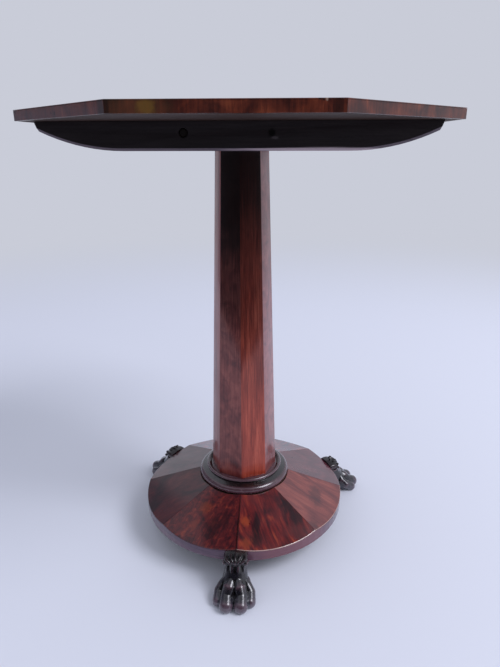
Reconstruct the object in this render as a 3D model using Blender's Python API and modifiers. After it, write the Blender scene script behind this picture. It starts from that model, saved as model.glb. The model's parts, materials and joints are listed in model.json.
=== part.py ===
"""Octagonal tilt-top lamp table on a tapered column, with a faceted round base and three carved paw feet.

Metres, +Z up. The origin is on the floor under the middle of the column. The front bearer faces -Y, and the
top tilts about two pivot pins that lie along Y.
"""

import math

import bmesh
import bpy
from mathutils import Matrix, Vector

# Fits
GLUE_GAP = 0.0003  # glue line, or the hair of space between two faces that touch
RUNNING_GAP = 0.0004  # room round a piece that turns or slides

# Top
TABLE_HEIGHT = 0.720  # floor to the show surface
TOP_WIDTH = 0.592  # octagon, flat to flat
TOP_TURN = math.radians(0.95)  # the top sits a little askew on its bearers
TOP_THICKNESS = 0.014
TOP_VENEER = 0.0012
EDGE_BAND = 0.004  # cross-grained lipping round the edge
TOP_SIDES = 8

# Bearers, the pair of long rails under the top
BEARER_LENGTH = 0.544
BEARER_DEPTH = 0.0378
BEARER_THICKNESS = 0.024
BEARER_SPAN = 0.237  # over the outer faces of the pair
BEARER_END_DEPTH = 0.0125  # height of the short end face
BEARER_END_LEAN = 0.0047  # how far the end face leans in on its way down
BEARER_SWEEP = 0.114  # length of the curve that lifts the underside towards each end
BEARER_SWEEP_STEPS = 10
BEARER_CHAMFER = 0.0035

# Tilt pivot
PIVOT_OFFSET = 0.0693  # column axis to pivot axis, towards -X
PIVOT_DROP = 0.015  # pivot axis under the underside of the top
PIVOT_DIAMETER = 0.012
PIVOT_REACH = 0.036  # length of pin inside the block
PIVOT_RECESS = 0.0012  # pin end below the bearer's outer face
PIVOT_LEAD = 0.0015  # bevel round the pin's outer end

# Block on the head of the column
BLOCK_THICKNESS = 0.0335
BLOCK_NOSE = 0.092  # column axis to the catch end
BLOCK_SIDE_GAP = 0.0008  # to each bearer
BLOCK_TAIL_STEPS = 6

# Column
COLUMN_SIDES = 8
COLUMN_HEAD_WIDTH = 0.0842  # over opposite ridges
COLUMN_FOOT_WIDTH = 0.1174
UPPER_TENON = 0.050  # diameters
LOWER_TENON = 0.064
TENON_ROOT = 0.012  # how far a tenon is drawn into the shaft it belongs to
TENON_SHY = 0.0008  # tenon end short of the face it comes through to
WEDGE_HEAD = 0.006
WEDGE_TIP = 0.0025
WEDGE_LENGTH = 0.024
WEDGE_WIDTH = 0.034

# Turned collar at the foot of the column
COLLAR_LIP = 0.0103  # upper bead, out past the column's ridges
COLLAR_STEP = 0.013  # lower torus, out past the upper bead
COLLAR_HEIGHT = 0.0242
COLLAR_TORUS = 0.0075  # section radius of the lower torus
COLLAR_BEAD = 0.003  # section radius of the upper bead
COLLAR_SEAT_DEPTH = 0.0045  # column foot below the top of the bead
COLLAR_SEAT_ROOM = 0.0015  # seat past the column's ridges
BEAD_ARC = (140, -50)  # degrees, from the seat round to the quirk
TORUS_ARC = (85, -60)  # degrees, from the quirk round to the underside
BEAD_STEPS = 6
TORUS_STEPS = 9

# Base
BASE_RADIUS = 0.182
BASE_SIDES = 8
BASE_UNDERSIDE = 0.043  # height over the floor
RIM_HEIGHT = 0.022  # underside to the ridge ends at the rim
FACET_SLOPE = math.radians(19.4)
BASE_VENEER = 0.0015
RIM_BAND = 0.0018

# Carved paw feet
RIGHT_FOOT_TURN = math.radians(117.5)  # about the column, from the front foot
LEFT_FOOT_TURN = math.radians(126)
PAW_REACH = 0.0692  # rim of the base to the tips of the middle toes
PAW_WIDTH = 0.068  # over the outer toes
TOE_PITCH = 0.0226  # between the two middle toes
OUTER_TOE_SETBACK = 0.0130  # outer toe tips behind the middle ones
OUTER_TOE_SHRINK = 0.0018  # outer toes are this much thinner and lower
TOE_TIP = 0.0112  # radii along a toe
TOE_WAIST = 0.0086
KNUCKLE = 0.0100
TOE_WAIST_BACK = 0.0122  # behind the middle of the tip
KNUCKLE_BACK = 0.0198
TOE_TIP_SINK = 0.0022  # how much of the round tip the sole takes off
TOE_WAIST_HEIGHT = 0.0162
KNUCKLE_HEIGHT = 0.0245
KNUCKLE_SPREAD = 0.0095  # column side of the toes draws together by this
TENDON = 0.0058
PAD_OUT = 0.017  # rim of the base to the middle of the pad
PAD_WIDTH = 0.050
PAD_DEPTH = 0.052
PAD_HEIGHT = 0.025
INSTEP_REACH = 0.0248  # rim of the base to the front of the tendons, under the cuff
BEND_OUT = 0.0295  # rim of the base to the tendons where they start to spread
BEND_HEIGHT = 0.0355
ANKLE_OUT = 0.0040  # rim of the base to the middle of the ankle
ANKLE_WIDTH = 0.0310
ANKLE_DEPTH = 0.030
FOREFOOT_OUT = 0.0370  # rim of the base to the middle of the mass under the toes
FOREFOOT_WIDTH = 0.052
FOREFOOT_DEPTH = 0.038
FOREFOOT_HEIGHT = 0.0215
FOREFOOT_SINK = 0.0070  # how much of it the sole takes off
CUFF_RISE = 0.0225  # top of the leaf cuff over the underside of the base
CUFF_HEIGHT = 0.0155
CUFF_WIDTH = 0.0420
CUFF_REACH = 0.0270  # rim of the base to the front of the cuff
CUFF_SET = 0.0070  # rim of the base to the middle of the roll
CUFF_ROUND = 0.006  # of its two ends
CUFF_DROOP = 0.76  # thickness of the roll at its ends, as a share of its middle
RING_REACH = 0.0225  # rim of the base to the front of the ring under the cuff
CUFF_RING = 0.0017  # section radius of that ring
RING_SWEEP = math.radians(86)  # to each side of the front
RING_STEPS = 25
LEAF_COUNT = 7
LEAF_ROOT = 0.0014  # radii along a leaf of the cuff
LEAF_TIP = 0.0036
LEAF_RELIEF = 0.0022  # how far the leaves stand out of the roll
LEAF_ARC = (math.radians(-50), math.radians(62))  # from under the roll to its top, seen from the side
LEAF_STEPS = 16
LEAF_SPREAD = math.radians(78)  # of the outermost leaves, to each side of upright
HEEL_DEPTH = 0.042  # part of the foot under the base, in from the rim
HEEL_WIDTH = 0.040
HEEL_LIFT = 0.009  # floor to the underside of the heel
PAW_GRAIN = 0.0008  # fineness of the carving
PAW_SMOOTHING = 2  # passes
PAW_SOFTNESS = 0.5  # how far each pass goes
PAW_KEPT = 0.0200  # share of the carved surface's triangles that is kept

# Foot dowels
DOWEL_DIAMETER = 0.010
DOWEL_INSET = 0.020  # in from the rim
DOWEL_IN_FOOT = 0.018
DOWEL_IN_BASE = 0.012

# Wood screws
SCREW_SHANK = 0.0045
SCREW_HEAD = 0.0085
SCREW_HEAD_HEIGHT = 0.0028
SCREW_BITE = 0.0085  # length in the top
SCREW_GRIP = 0.012  # bearer left above the head
COUNTERBORE = 0.011
BEARER_SCREW_PLACES = (0.122, 0.226)  # from the middle of the bearer
SMALL_SCREW_SHANK = 0.0026
SMALL_SCREW_HEAD = 0.0048
SMALL_SCREW_HEAD_HEIGHT = 0.0014
SMALL_SCREW_BITE = 0.0075

# Sliding catch under the top
CATCH_GAP = 0.004  # clear of the end of the block
CATCH_LENGTH = 0.054
CATCH_WIDTH = 0.024
CATCH_HEIGHT = 0.0145
FLANGE_WIDTH = 0.046
FLANGE_THICKNESS = 0.0025
FLANGE_SCREW_PITCH = 0.036  # along the catch
FLANGE_SCREW_SPREAD = 0.035  # across the catch
BOLT_WIDTH = 0.012
BOLT_HEIGHT = 0.006
BOLT_LENGTH = 0.042
BOLT_SETBACK = 0.0008  # bolt nose inside the case when drawn back
BOLT_THROW = 0.009
KNOB_PLACE = 0.028  # bolt nose to knob
KNOB_STEM = 0.006
KNOB_HEAD = 0.012
KNOB_HEAD_HEIGHT = 0.006
KNOB_STAND = 0.0015  # knob head below the case
KNOB_SHOULDER = math.radians(45)  # where the round of the head starts
KNOB_STEPS = 6
KEEPER_WIDTH = 0.042
KEEPER_HEIGHT = 0.0125
KEEPER_THICKNESS = 0.002
KEEPER_ROOM = 0.0006  # keeper hole round the bolt
KEEPER_MORTISE = 0.010  # depth of the hole behind the keeper
KEEPER_SCREW_SPREAD = 0.028

# Fineness of round shapes
RIM_SIDES = 80
TURNED_SIDES = 36
HOLE_SIDES = 20
SCREW_SIDES = 8
BALL_FINENESS = 3  # subdivisions of the balls that a paw is roughed out from
SHARP_ANGLE = math.radians(30)
FLAT_ANGLE = math.radians(0.1)  # faces that meet at less are one face
WELD = 1e-6
PASS_THROUGH = 0.01  # how far a cutter runs on past the face it opens

# Levels and radii that follow from the sizes above
UNDERSIDE = TABLE_HEIGHT - TOP_THICKNESS
GROUND_TOP = TABLE_HEIGHT - TOP_VENEER - GLUE_GAP
SEAT_UNDER_TOP = UNDERSIDE - GLUE_GAP
PIVOT_HEIGHT = UNDERSIDE - PIVOT_DROP
BLOCK_UNDERSIDE = SEAT_UNDER_TOP - BLOCK_THICKNESS
BLOCK_WIDTH = BEARER_SPAN - 2 * BEARER_THICKNESS - 2 * BLOCK_SIDE_GAP
BEARER_MIDDLE = (BEARER_SPAN - BEARER_THICKNESS) / 2
BEAD_RADIUS = COLUMN_FOOT_WIDTH / 2 + COLLAR_LIP
COLLAR_RADIUS = BEAD_RADIUS + COLLAR_STEP
HALF_FACET = math.pi / BASE_SIDES
FACET_ARC_STEPS = RIM_SIDES // BASE_SIDES + 1
FACET_RUN = math.tan(FACET_SLOPE)
FACET_APEX = BASE_UNDERSIDE + RIM_HEIGHT + BASE_RADIUS * math.cos(HALF_FACET) * FACET_RUN
CORE_APEX = FACET_APEX - (BASE_VENEER + GLUE_GAP) / math.cos(FACET_SLOPE)
CORE_TOP = CORE_APEX - COLLAR_RADIUS * FACET_RUN
COLLAR_UNDERSIDE = CORE_TOP + GLUE_GAP
COLLAR_TOP = COLLAR_UNDERSIDE + COLLAR_HEIGHT
COLUMN_FOOT = COLLAR_TOP - COLLAR_SEAT_DEPTH + GLUE_GAP
COLUMN_HEAD = BLOCK_UNDERSIDE - GLUE_GAP
CATCH_START = BLOCK_NOSE + CATCH_GAP
BOLT_NOSE = CATCH_START + BOLT_SETBACK
BOLT_AXIS = SEAT_UNDER_TOP - CATCH_HEIGHT / 2

for leftover in list(bpy.data.objects):
    bpy.data.objects.remove(leftover)

PARTS = bpy.data.collections.new("lamp_table")
CUTTERS = bpy.data.collections.new("lamp_table_cutters")
bpy.context.scene.collection.children.link(PARTS)
bpy.context.scene.collection.children.link(CUTTERS)


def finish(name, colour, roughness, metallic=0.0):
    """A plain material with one colour."""
    material = bpy.data.materials.new(name)
    material.use_nodes = True
    shader = material.node_tree.nodes["Principled BSDF"]
    shader.inputs["Base Color"].default_value = (*colour, 1.0)
    shader.inputs["Roughness"].default_value = roughness
    shader.inputs["Metallic"].default_value = metallic
    return material


TOP_WOOD = finish("polished_mahogany_top", (0.16, 0.045, 0.020), 0.25)
BAND_WOOD = finish("crossbanded_mahogany", (0.20, 0.065, 0.025), 0.30)
GROUND_WOOD = finish("pine_ground", (0.45, 0.28, 0.13), 0.70)
BEARER_WOOD = finish("dark_stained_beech", (0.030, 0.016, 0.010), 0.50)
COLUMN_WOOD = finish("polished_mahogany_column", (0.13, 0.035, 0.020), 0.28)
FLAME_WOOD = finish("flame_mahogany_veneer", (0.17, 0.045, 0.020), 0.25)
CARVED_WOOD = finish("ebonised_carved_mahogany", (0.020, 0.011, 0.008), 0.30)
OAK = finish("oak", (0.35, 0.22, 0.11), 0.65)
BRASS = finish("old_brass", (0.52, 0.36, 0.13), 0.38, 1.0)
IRON = finish("iron", (0.20, 0.19, 0.18), 0.50, 1.0)


def empty(name, location):
    """A frame that pieces hang from, on a joint's axis where they move."""
    frame = bpy.data.objects.new(name, None)
    frame.location = location
    PARTS.objects.link(frame)
    return frame


STAND = empty("stand_frame", (0, 0, 0))
TILT = empty("tilt_axis", (-PIVOT_OFFSET, 0, PIVOT_HEIGHT))
CATCH = empty("bolt_axis", (BOLT_NOSE, 0, BOLT_AXIS))


def spread(start, stop, count):
    """Evenly spaced values, both ends included."""
    return [start + (stop - start) * step / (count - 1) for step in range(count)]


def meshed(bm, name):
    """The finished mesh of an edit mesh, smooth except across its real edges."""
    mesh = bpy.data.meshes.new(name)
    bm.to_mesh(mesh)
    bm.free()
    mesh.shade_smooth()
    mesh.set_sharp_from_angle(angle=SHARP_ANGLE)
    return mesh


def baked(data, *modifiers):
    """A curve or mesh after its modifiers, each a kind and its settings, with loose caps welded."""
    pattern = bpy.data.objects.new("pattern", data)
    CUTTERS.objects.link(pattern)
    for kind, settings in modifiers:
        modifier = pattern.modifiers.new(kind, kind)
        for setting, value in settings.items():
            setattr(modifier, setting, value)
    graph = bpy.context.evaluated_depsgraph_get()
    mesh = bpy.data.meshes.new_from_object(pattern.evaluated_get(graph))
    bpy.data.objects.remove(pattern)
    bm = bmesh.new()
    bm.from_mesh(mesh)
    bpy.data.meshes.remove(mesh)
    bmesh.ops.remove_doubles(bm, verts=bm.verts, dist=WELD)
    bmesh.ops.recalc_face_normals(bm, faces=bm.faces)
    return bm


def plate(name, outline, thickness):
    """A flat outline in XY, thickened by half on each side."""
    curve = bpy.data.curves.new(name, "CURVE")
    curve.dimensions = "2D"
    curve.fill_mode = "BOTH"
    curve.extrude = thickness / 2
    spline = curve.splines.new("POLY")
    spline.points.add(len(outline) - 1)
    for point, (x, y) in zip(spline.points, outline):
        point.co = (x, y, 0, 1)
    spline.use_cyclic_u = True
    return meshed(baked(curve), name)


def turned(name, profile, sides, closed=False):
    """A profile of (radius, height) points, top to bottom, turned about Z."""
    mesh = bpy.data.meshes.new(name)
    edges = [(at, at + 1) for at in range(len(profile) - 1)]
    if closed:
        edges.append((len(profile) - 1, 0))
    mesh.from_pydata([(radius, 0, height) for radius, height in profile], edges, [])
    turn = dict(axis="Z", steps=sides, render_steps=sides, use_merge_vertices=True, merge_threshold=WELD)
    return meshed(baked(mesh, ("SCREW", turn)), name)


def add_box(bm, low, high):
    """A box between two opposite corners."""
    low, high = Vector(low), Vector(high)
    place = Matrix.Translation((low + high) / 2) @ Matrix.Diagonal((*(high - low), 1))
    bmesh.ops.create_cube(bm, size=1, matrix=place)


def add_rod(bm, start, end, radius, end_radius=None, sides=HOLE_SIDES):
    """A cylinder or cone between two points."""
    start, end = Vector(start), Vector(end)
    along = end - start
    place = Matrix.Translation((start + end) / 2) @ along.to_track_quat("Z", "Y").to_matrix().to_4x4()
    bmesh.ops.create_cone(
        bm,
        cap_ends=True,
        segments=sides,
        radius1=radius,
        radius2=radius if end_radius is None else end_radius,
        depth=along.length,
        matrix=place,
    )


def add_ball(bm, centre, radii):
    """An ellipsoid."""
    place = Matrix.Translation(centre) @ Matrix.Diagonal((*radii, 1))
    bmesh.ops.create_icosphere(bm, subdivisions=BALL_FINENESS, radius=1, matrix=place)


def box(name, low, high):
    """A box as a mesh."""
    bm = bmesh.new()
    add_box(bm, low, high)
    return meshed(bm, name)


def rod(name, start, end, radius, end_radius=None, sides=HOLE_SIDES):
    """A cylinder or cone as a mesh."""
    bm = bmesh.new()
    add_rod(bm, start, end, radius, end_radius, sides)
    return meshed(bm, name)


def piece(name, mesh, material, frame, location=(0, 0, 0), rotation=(0, 0, 0)):
    """One sub-part, placed in the table's own coordinates under its frame."""
    obj = bpy.data.objects.new(name, mesh)
    if not mesh.materials:
        mesh.materials.append(material)
    PARTS.objects.link(obj)
    obj.parent = frame
    obj.location = Vector(location) - frame.location
    obj.rotation_euler = rotation
    return obj


def cutter(mesh, location=(0, 0, 0), rotation=(0, 0, 0)):
    """A helper that shapes other pieces and is no piece itself."""
    obj = bpy.data.objects.new(mesh.name + "_cutter", mesh)
    CUTTERS.objects.link(obj)
    obj.location = location
    obj.rotation_euler = rotation
    obj.hide_render = True
    obj.display_type = "WIRE"
    return obj


def combine(obj, other, operation="DIFFERENCE"):
    """Cuts, joins or keeps what is common with another solid."""
    modifier = obj.modifiers.new(other.name, "BOOLEAN")
    modifier.operation = operation
    modifier.object = other
    modifier.solver = "EXACT"


def octagon(half_width):
    """An octagon with flats on all four sides."""
    corner = half_width / math.cos(math.pi / TOP_SIDES)
    turns = [math.pi / TOP_SIDES + turn for turn in spread(0, math.tau, TOP_SIDES + 1)[:-1]]
    return [(corner * math.cos(turn), corner * math.sin(turn)) for turn in turns]


def bearer_screw_places():
    """Where the bearer screws enter the top."""
    return [
        (side * place, rail * BEARER_MIDDLE)
        for rail in (-1, 1)
        for place in BEARER_SCREW_PLACES
        for side in (-1, 1)
    ]


def catch_screw_places():
    """Where the catch screws enter the top."""
    middle = CATCH_START + CATCH_LENGTH / 2
    return [
        (middle + along * FLANGE_SCREW_PITCH / 2, across * FLANGE_SCREW_SPREAD / 2)
        for along in (-1, 1)
        for across in (-1, 1)
    ]


def build_top():
    """Ground board, its top veneer and the eight mitred edge bands."""
    half = TOP_WIDTH / 2
    inner = half - EDGE_BAND
    height = GROUND_TOP - UNDERSIDE
    ground = piece(
        "top_ground",
        plate("top_ground", octagon(inner - GLUE_GAP), height),
        GROUND_WOOD,
        TILT,
        (0, 0, UNDERSIDE + height / 2),
        (0, 0, TOP_TURN),
    )
    bm = bmesh.new()
    holes = [(place, SCREW_SHANK, SCREW_BITE) for place in bearer_screw_places()]
    holes += [(place, SMALL_SCREW_SHANK, SMALL_SCREW_BITE) for place in catch_screw_places()]
    for (x, y), shank, bite in holes:
        low = (x, y, UNDERSIDE - PASS_THROUGH)
        high = (x, y, UNDERSIDE + bite + GLUE_GAP)
        add_rod(bm, low, high, shank / 2 + GLUE_GAP, sides=SCREW_SIDES)
    combine(ground, cutter(meshed(bm, "screw_holes")))

    piece(
        "top_veneer",
        plate("top_veneer", octagon(half), TOP_VENEER),
        TOP_WOOD,
        TILT,
        (0, 0, TABLE_HEIGHT - TOP_VENEER / 2),
        (0, 0, TOP_TURN),
    )

    mitre = math.tan(math.pi / TOP_SIDES)
    seam = GLUE_GAP / 2 / math.cos(math.pi / TOP_SIDES)
    outer_end = half * mitre - seam
    inner_end = inner * mitre - seam
    outline = [(-outer_end, -half), (outer_end, -half), (inner_end, -inner), (-inner_end, -inner)]
    strip = plate("edge_band", outline, height)
    for side in range(TOP_SIDES):
        turn = TOP_TURN + math.tau * side / TOP_SIDES
        place = (0, 0, UNDERSIDE + height / 2)
        piece(f"edge_band_{side + 1}", strip, BAND_WOOD, TILT, place, (0, 0, turn))


def bearer_outline():
    """The rail from the side: flat underside, a long sweep up to each end and short leaning end faces."""
    half = BEARER_LENGTH / 2
    rise = BEARER_DEPTH - BEARER_END_DEPTH
    radius = (BEARER_SWEEP**2 + rise**2) / (2 * rise)
    start = half - BEARER_END_LEAN - BEARER_SWEEP
    right = [
        (start + radius * math.sin(turn), radius * (1 - math.cos(turn)) - BEARER_DEPTH)
        for turn in spread(0, math.asin(BEARER_SWEEP / radius), BEARER_SWEEP_STEPS)
    ]
    right.append((half, 0))
    return right + [(-x, y) for x, y in reversed(right)]


def chamfered_rail():
    """The rail with both lower arrises taken off."""
    mesh = plate("bearer", bearer_outline(), BEARER_THICKNESS)
    bm = bmesh.new()
    bm.from_mesh(mesh)
    bmesh.ops.dissolve_limit(bm, angle_limit=FLAT_ANGLE, verts=bm.verts, edges=bm.edges)
    weight = bm.edges.layers.float.new("bevel_weight_edge")
    for edge in bm.edges:
        one, other = (vert.co for vert in edge.verts)
        on_face = one.z == other.z
        on_underside = max(one.y, other.y) <= WELD - BEARER_END_DEPTH
        on_outline = len({face.normal.z == 0 for face in edge.link_faces}) == 2
        edge[weight] = float(on_face and on_underside and on_outline)
    bm.to_mesh(mesh)
    bevel = dict(width=BEARER_CHAMFER, segments=1, limit_method="WEIGHT")
    return meshed(baked(mesh, ("BEVEL", bevel)), "bearer")


def wood_screw(shank, head, head_height, length):
    """A plain screw, point up, with the top of its head at zero."""
    profile = [
        (0, length),
        (shank / 2, length - shank / 2),
        (shank / 2, 0),
        (head / 2, 0),
        (head / 2, -head_height / 2),
        (shank / 2, -head_height),
        (0, -head_height),
    ]
    return turned("wood_screw", profile, SCREW_SIDES)


def build_bearers():
    """Two rails, bored for the pivot pins and counterbored for the screws that hold them to the top."""
    rail = chamfered_rail()
    seat = UNDERSIDE - SCREW_GRIP
    bm = bmesh.new()
    pivot = Vector((-PIVOT_OFFSET, 0, PIVOT_HEIGHT))
    reach = Vector((0, BEARER_SPAN / 2 + PASS_THROUGH, 0))
    add_rod(bm, pivot - reach, pivot + reach, PIVOT_DIAMETER / 2 + RUNNING_GAP)
    bores = cutter(meshed(bm, "pivot_bores"))
    bm = bmesh.new()
    for x, y in bearer_screw_places():
        low = UNDERSIDE - BEARER_DEPTH - PASS_THROUGH
        profile = [
            (0, UNDERSIDE + PASS_THROUGH),
            (SCREW_SHANK / 2 + GLUE_GAP, UNDERSIDE + PASS_THROUGH),
            (SCREW_SHANK / 2 + GLUE_GAP, seat),
            (COUNTERBORE / 2, seat),
            (COUNTERBORE / 2, low),
            (0, low),
        ]
        stepped = turned("screw_bore", profile, SCREW_SIDES)
        stepped.transform(Matrix.Translation((x, y, 0)))
        bm.from_mesh(stepped)
        bpy.data.meshes.remove(stepped)
    counterbores = cutter(meshed(bm, "counterbores"))
    for name, side in (("front", -1), ("rear", 1)):
        place = (0, side * BEARER_MIDDLE, SEAT_UNDER_TOP)
        bearer = piece(f"bearer_{name}", rail, BEARER_WOOD, TILT, place, (math.pi / 2, 0, 0))
        combine(bearer, bores)
        combine(bearer, counterbores)
    screw = wood_screw(SCREW_SHANK, SCREW_HEAD, SCREW_HEAD_HEIGHT, SCREW_GRIP + SCREW_BITE)
    for number, (x, y) in enumerate(bearer_screw_places(), 1):
        piece(f"bearer_screw_{number}", screw, IRON, TILT, (x, y, seat - GLUE_GAP))


def build_block():
    """The block that carries the pivots, its two pins, and the keeper plate in its catch end."""
    tail = PIVOT_DROP - GLUE_GAP
    outline = [(BLOCK_NOSE, -BLOCK_THICKNESS), (BLOCK_NOSE, 0)]
    for turn in spread(math.pi / 2, math.pi, BLOCK_TAIL_STEPS):
        outline.append((tail * math.cos(turn) - PIVOT_OFFSET, tail * math.sin(turn) - tail))
    outline.append((-PIVOT_OFFSET - tail, -BLOCK_THICKNESS))
    block = piece(
        "column_block",
        plate("column_block", outline, BLOCK_WIDTH),
        BEARER_WOOD,
        STAND,
        (0, 0, SEAT_UNDER_TOP),
        (math.pi / 2, 0, 0),
    )

    bm = bmesh.new()
    low = (0, 0, BLOCK_UNDERSIDE - PASS_THROUGH)
    high = (0, 0, SEAT_UNDER_TOP + PASS_THROUGH)
    add_rod(bm, low, high, UPPER_TENON / 2 + GLUE_GAP, sides=TURNED_SIDES)
    combine(block, cutter(meshed(bm, "upper_mortise")))

    bores = bmesh.new()
    pin_start = BEARER_SPAN / 2 - PIVOT_RECESS
    pin_end = BLOCK_WIDTH / 2 - PIVOT_REACH
    pin_length = pin_start - pin_end
    profile = [
        (0, 0),
        (PIVOT_DIAMETER / 2 - PIVOT_LEAD, 0),
        (PIVOT_DIAMETER / 2, -PIVOT_LEAD),
        (PIVOT_DIAMETER / 2, -pin_length),
        (0, -pin_length),
    ]
    pin = turned("pivot_pin", profile, HOLE_SIDES)
    for name, side in (("front", -1), ("rear", 1)):
        start = Vector((-PIVOT_OFFSET, side * (pin_end - GLUE_GAP), PIVOT_HEIGHT))
        end = Vector((-PIVOT_OFFSET, side * (BLOCK_WIDTH / 2 + PASS_THROUGH), PIVOT_HEIGHT))
        add_rod(bores, start, end, PIVOT_DIAMETER / 2 + GLUE_GAP)
        place = (-PIVOT_OFFSET, side * pin_start, PIVOT_HEIGHT)
        piece(f"pivot_pin_{name}", pin, OAK, STAND, place, (-side * math.pi / 2, 0, 0))
    combine(block, cutter(meshed(bores, "pin_bores")))

    half_width = BOLT_WIDTH / 2 + KEEPER_ROOM
    half_height = BOLT_HEIGHT / 2 + KEEPER_ROOM
    hole = box(
        "bolt_mortise",
        (BLOCK_NOSE - KEEPER_MORTISE, -half_width, BOLT_AXIS - half_height),
        (BLOCK_NOSE + PASS_THROUGH, half_width, BOLT_AXIS + half_height),
    )
    hole = cutter(hole)
    plate_face = BLOCK_NOSE - KEEPER_THICKNESS
    recess = box(
        "keeper_recess",
        (plate_face - GLUE_GAP, -KEEPER_WIDTH / 2 - GLUE_GAP, BOLT_AXIS - KEEPER_HEIGHT / 2 - GLUE_GAP),
        (BLOCK_NOSE + PASS_THROUGH, KEEPER_WIDTH / 2 + GLUE_GAP, BOLT_AXIS + KEEPER_HEIGHT / 2 + GLUE_GAP),
    )
    combine(block, cutter(recess))
    combine(block, hole)
    keeper = box(
        "keeper_plate",
        (plate_face, -KEEPER_WIDTH / 2, BOLT_AXIS - KEEPER_HEIGHT / 2),
        (BLOCK_NOSE, KEEPER_WIDTH / 2, BOLT_AXIS + KEEPER_HEIGHT / 2),
    )
    keeper = piece("keeper_plate", keeper, BRASS, STAND)
    combine(keeper, hole)

    screw = wood_screw(
        SMALL_SCREW_SHANK, SMALL_SCREW_HEAD, SMALL_SCREW_HEAD_HEIGHT, KEEPER_THICKNESS + SMALL_SCREW_BITE
    )
    bm = bmesh.new()
    for number, side in enumerate((-1, 1), 1):
        y = side * KEEPER_SCREW_SPREAD / 2
        deep = plate_face - SMALL_SCREW_BITE - GLUE_GAP
        radius = SMALL_SCREW_SHANK / 2 + GLUE_GAP
        mouth = BLOCK_NOSE + PASS_THROUGH
        add_rod(bm, (deep, y, BOLT_AXIS), (mouth, y, BOLT_AXIS), radius, sides=SCREW_SIDES)
        place = (BLOCK_NOSE + GLUE_GAP, y, BOLT_AXIS)
        piece(f"keeper_screw_{number}", screw, BRASS, STAND, place, (0, -math.pi / 2, 0))
    screw_holes = cutter(meshed(bm, "keeper_screw_holes"))
    combine(block, screw_holes)
    combine(keeper, screw_holes)


def wedge_outline(gap=0.0):
    """A wedge from the side, head down, grown all round by a gap for the slot that it is driven into."""
    head = WEDGE_HEAD / 2 + gap
    tip = WEDGE_TIP / 2 + gap
    low = -PASS_THROUGH if gap else 0
    high = WEDGE_LENGTH + gap
    return [(-head, low), (head, low), (head, 0), (tip, high), (-tip, high), (-head, 0)]


def build_column():
    """The tapered eight-sided shaft with a round, wedged tenon at each end."""
    shaft = rod(
        "column",
        (0, 0, COLUMN_FOOT),
        (0, 0, COLUMN_HEAD),
        COLUMN_FOOT_WIDTH / 2,
        COLUMN_HEAD_WIDTH / 2,
        COLUMN_SIDES,
    )
    column = piece("column", shaft, COLUMN_WOOD, STAND)
    upper_end = SEAT_UNDER_TOP - TENON_SHY
    lower_end = BASE_UNDERSIDE + TENON_SHY
    for name, low, high, width in (
        ("upper_tenon", COLUMN_HEAD - TENON_ROOT, upper_end, UPPER_TENON),
        ("lower_tenon", lower_end, COLUMN_FOOT + TENON_ROOT, LOWER_TENON),
    ):
        tenon = rod(name, (0, 0, low), (0, 0, high), width / 2, sides=TURNED_SIDES)
        combine(column, cutter(tenon), "UNION")

    wedge = plate("wedge", wedge_outline(), WEDGE_WIDTH)
    slot = plate("wedge_slot", wedge_outline(GLUE_GAP), WEDGE_WIDTH + 2 * GLUE_GAP)
    for name, end, turn in (("lower", lower_end, math.pi / 2), ("upper", upper_end, -math.pi / 2)):
        combine(column, cutter(slot, (0, 0, end), (turn, 0, 0)))
        piece(f"column_wedge_{name}", wedge, OAK, STAND, (0, 0, end), (turn, 0, 0))


def arc(centre, radius, sweep, steps):
    """Points on a circular arc from one angle to another, in degrees."""
    turns = [math.radians(turn) for turn in spread(*sweep, steps)]
    return [(centre[0] + radius * math.cos(turn), centre[1] + radius * math.sin(turn)) for turn in turns]


def build_collar():
    """The turned collar: a small bead, a quirk and a broad torus, with a seat for the column inside."""
    bead = (BEAD_RADIUS - COLLAR_BEAD, COLLAR_HEIGHT - COLLAR_BEAD)
    torus = (COLLAR_RADIUS - COLLAR_TORUS, COLLAR_TORUS)
    seat = COLLAR_HEIGHT - COLLAR_SEAT_DEPTH
    seat_edge = COLUMN_FOOT_WIDTH / 2 + COLLAR_SEAT_ROOM
    bore = LOWER_TENON / 2 + GLUE_GAP
    quirk = bead[1] - COLLAR_BEAD
    profile = [(seat_edge, seat)]
    profile += arc(bead, COLLAR_BEAD, BEAD_ARC, BEAD_STEPS)
    profile += [(bead[0] + COLLAR_BEAD / 2, quirk)]
    profile += arc(torus, COLLAR_TORUS, TORUS_ARC, TORUS_STEPS)
    profile += [(torus[0], 0), (bore, 0), (bore, seat)]
    mesh = turned("collar", profile, TURNED_SIDES, closed=True)
    piece("collar", mesh, CARVED_WOOD, STAND, (0, 0, COLLAR_UNDERSIDE))


def facet_solid(name, low, high):
    """The eight-sided slope under the veneers, between two heights."""
    spoke = FACET_RUN * math.cos(HALF_FACET)
    low_radius = (CORE_APEX - low) / spoke
    high_radius = (CORE_APEX - high) / spoke
    return rod(name, (0, 0, low), (0, 0, high), low_radius, high_radius, BASE_SIDES)


def foot_places():
    """Each foot's name, its turn about the column and the unit vector that it points along."""
    turns = (("front", 0.0), ("right", RIGHT_FOOT_TURN), ("left", -LEFT_FOOT_TURN))
    return [(name, turn, Vector((math.sin(turn), -math.cos(turn), 0))) for name, turn in turns]


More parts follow.
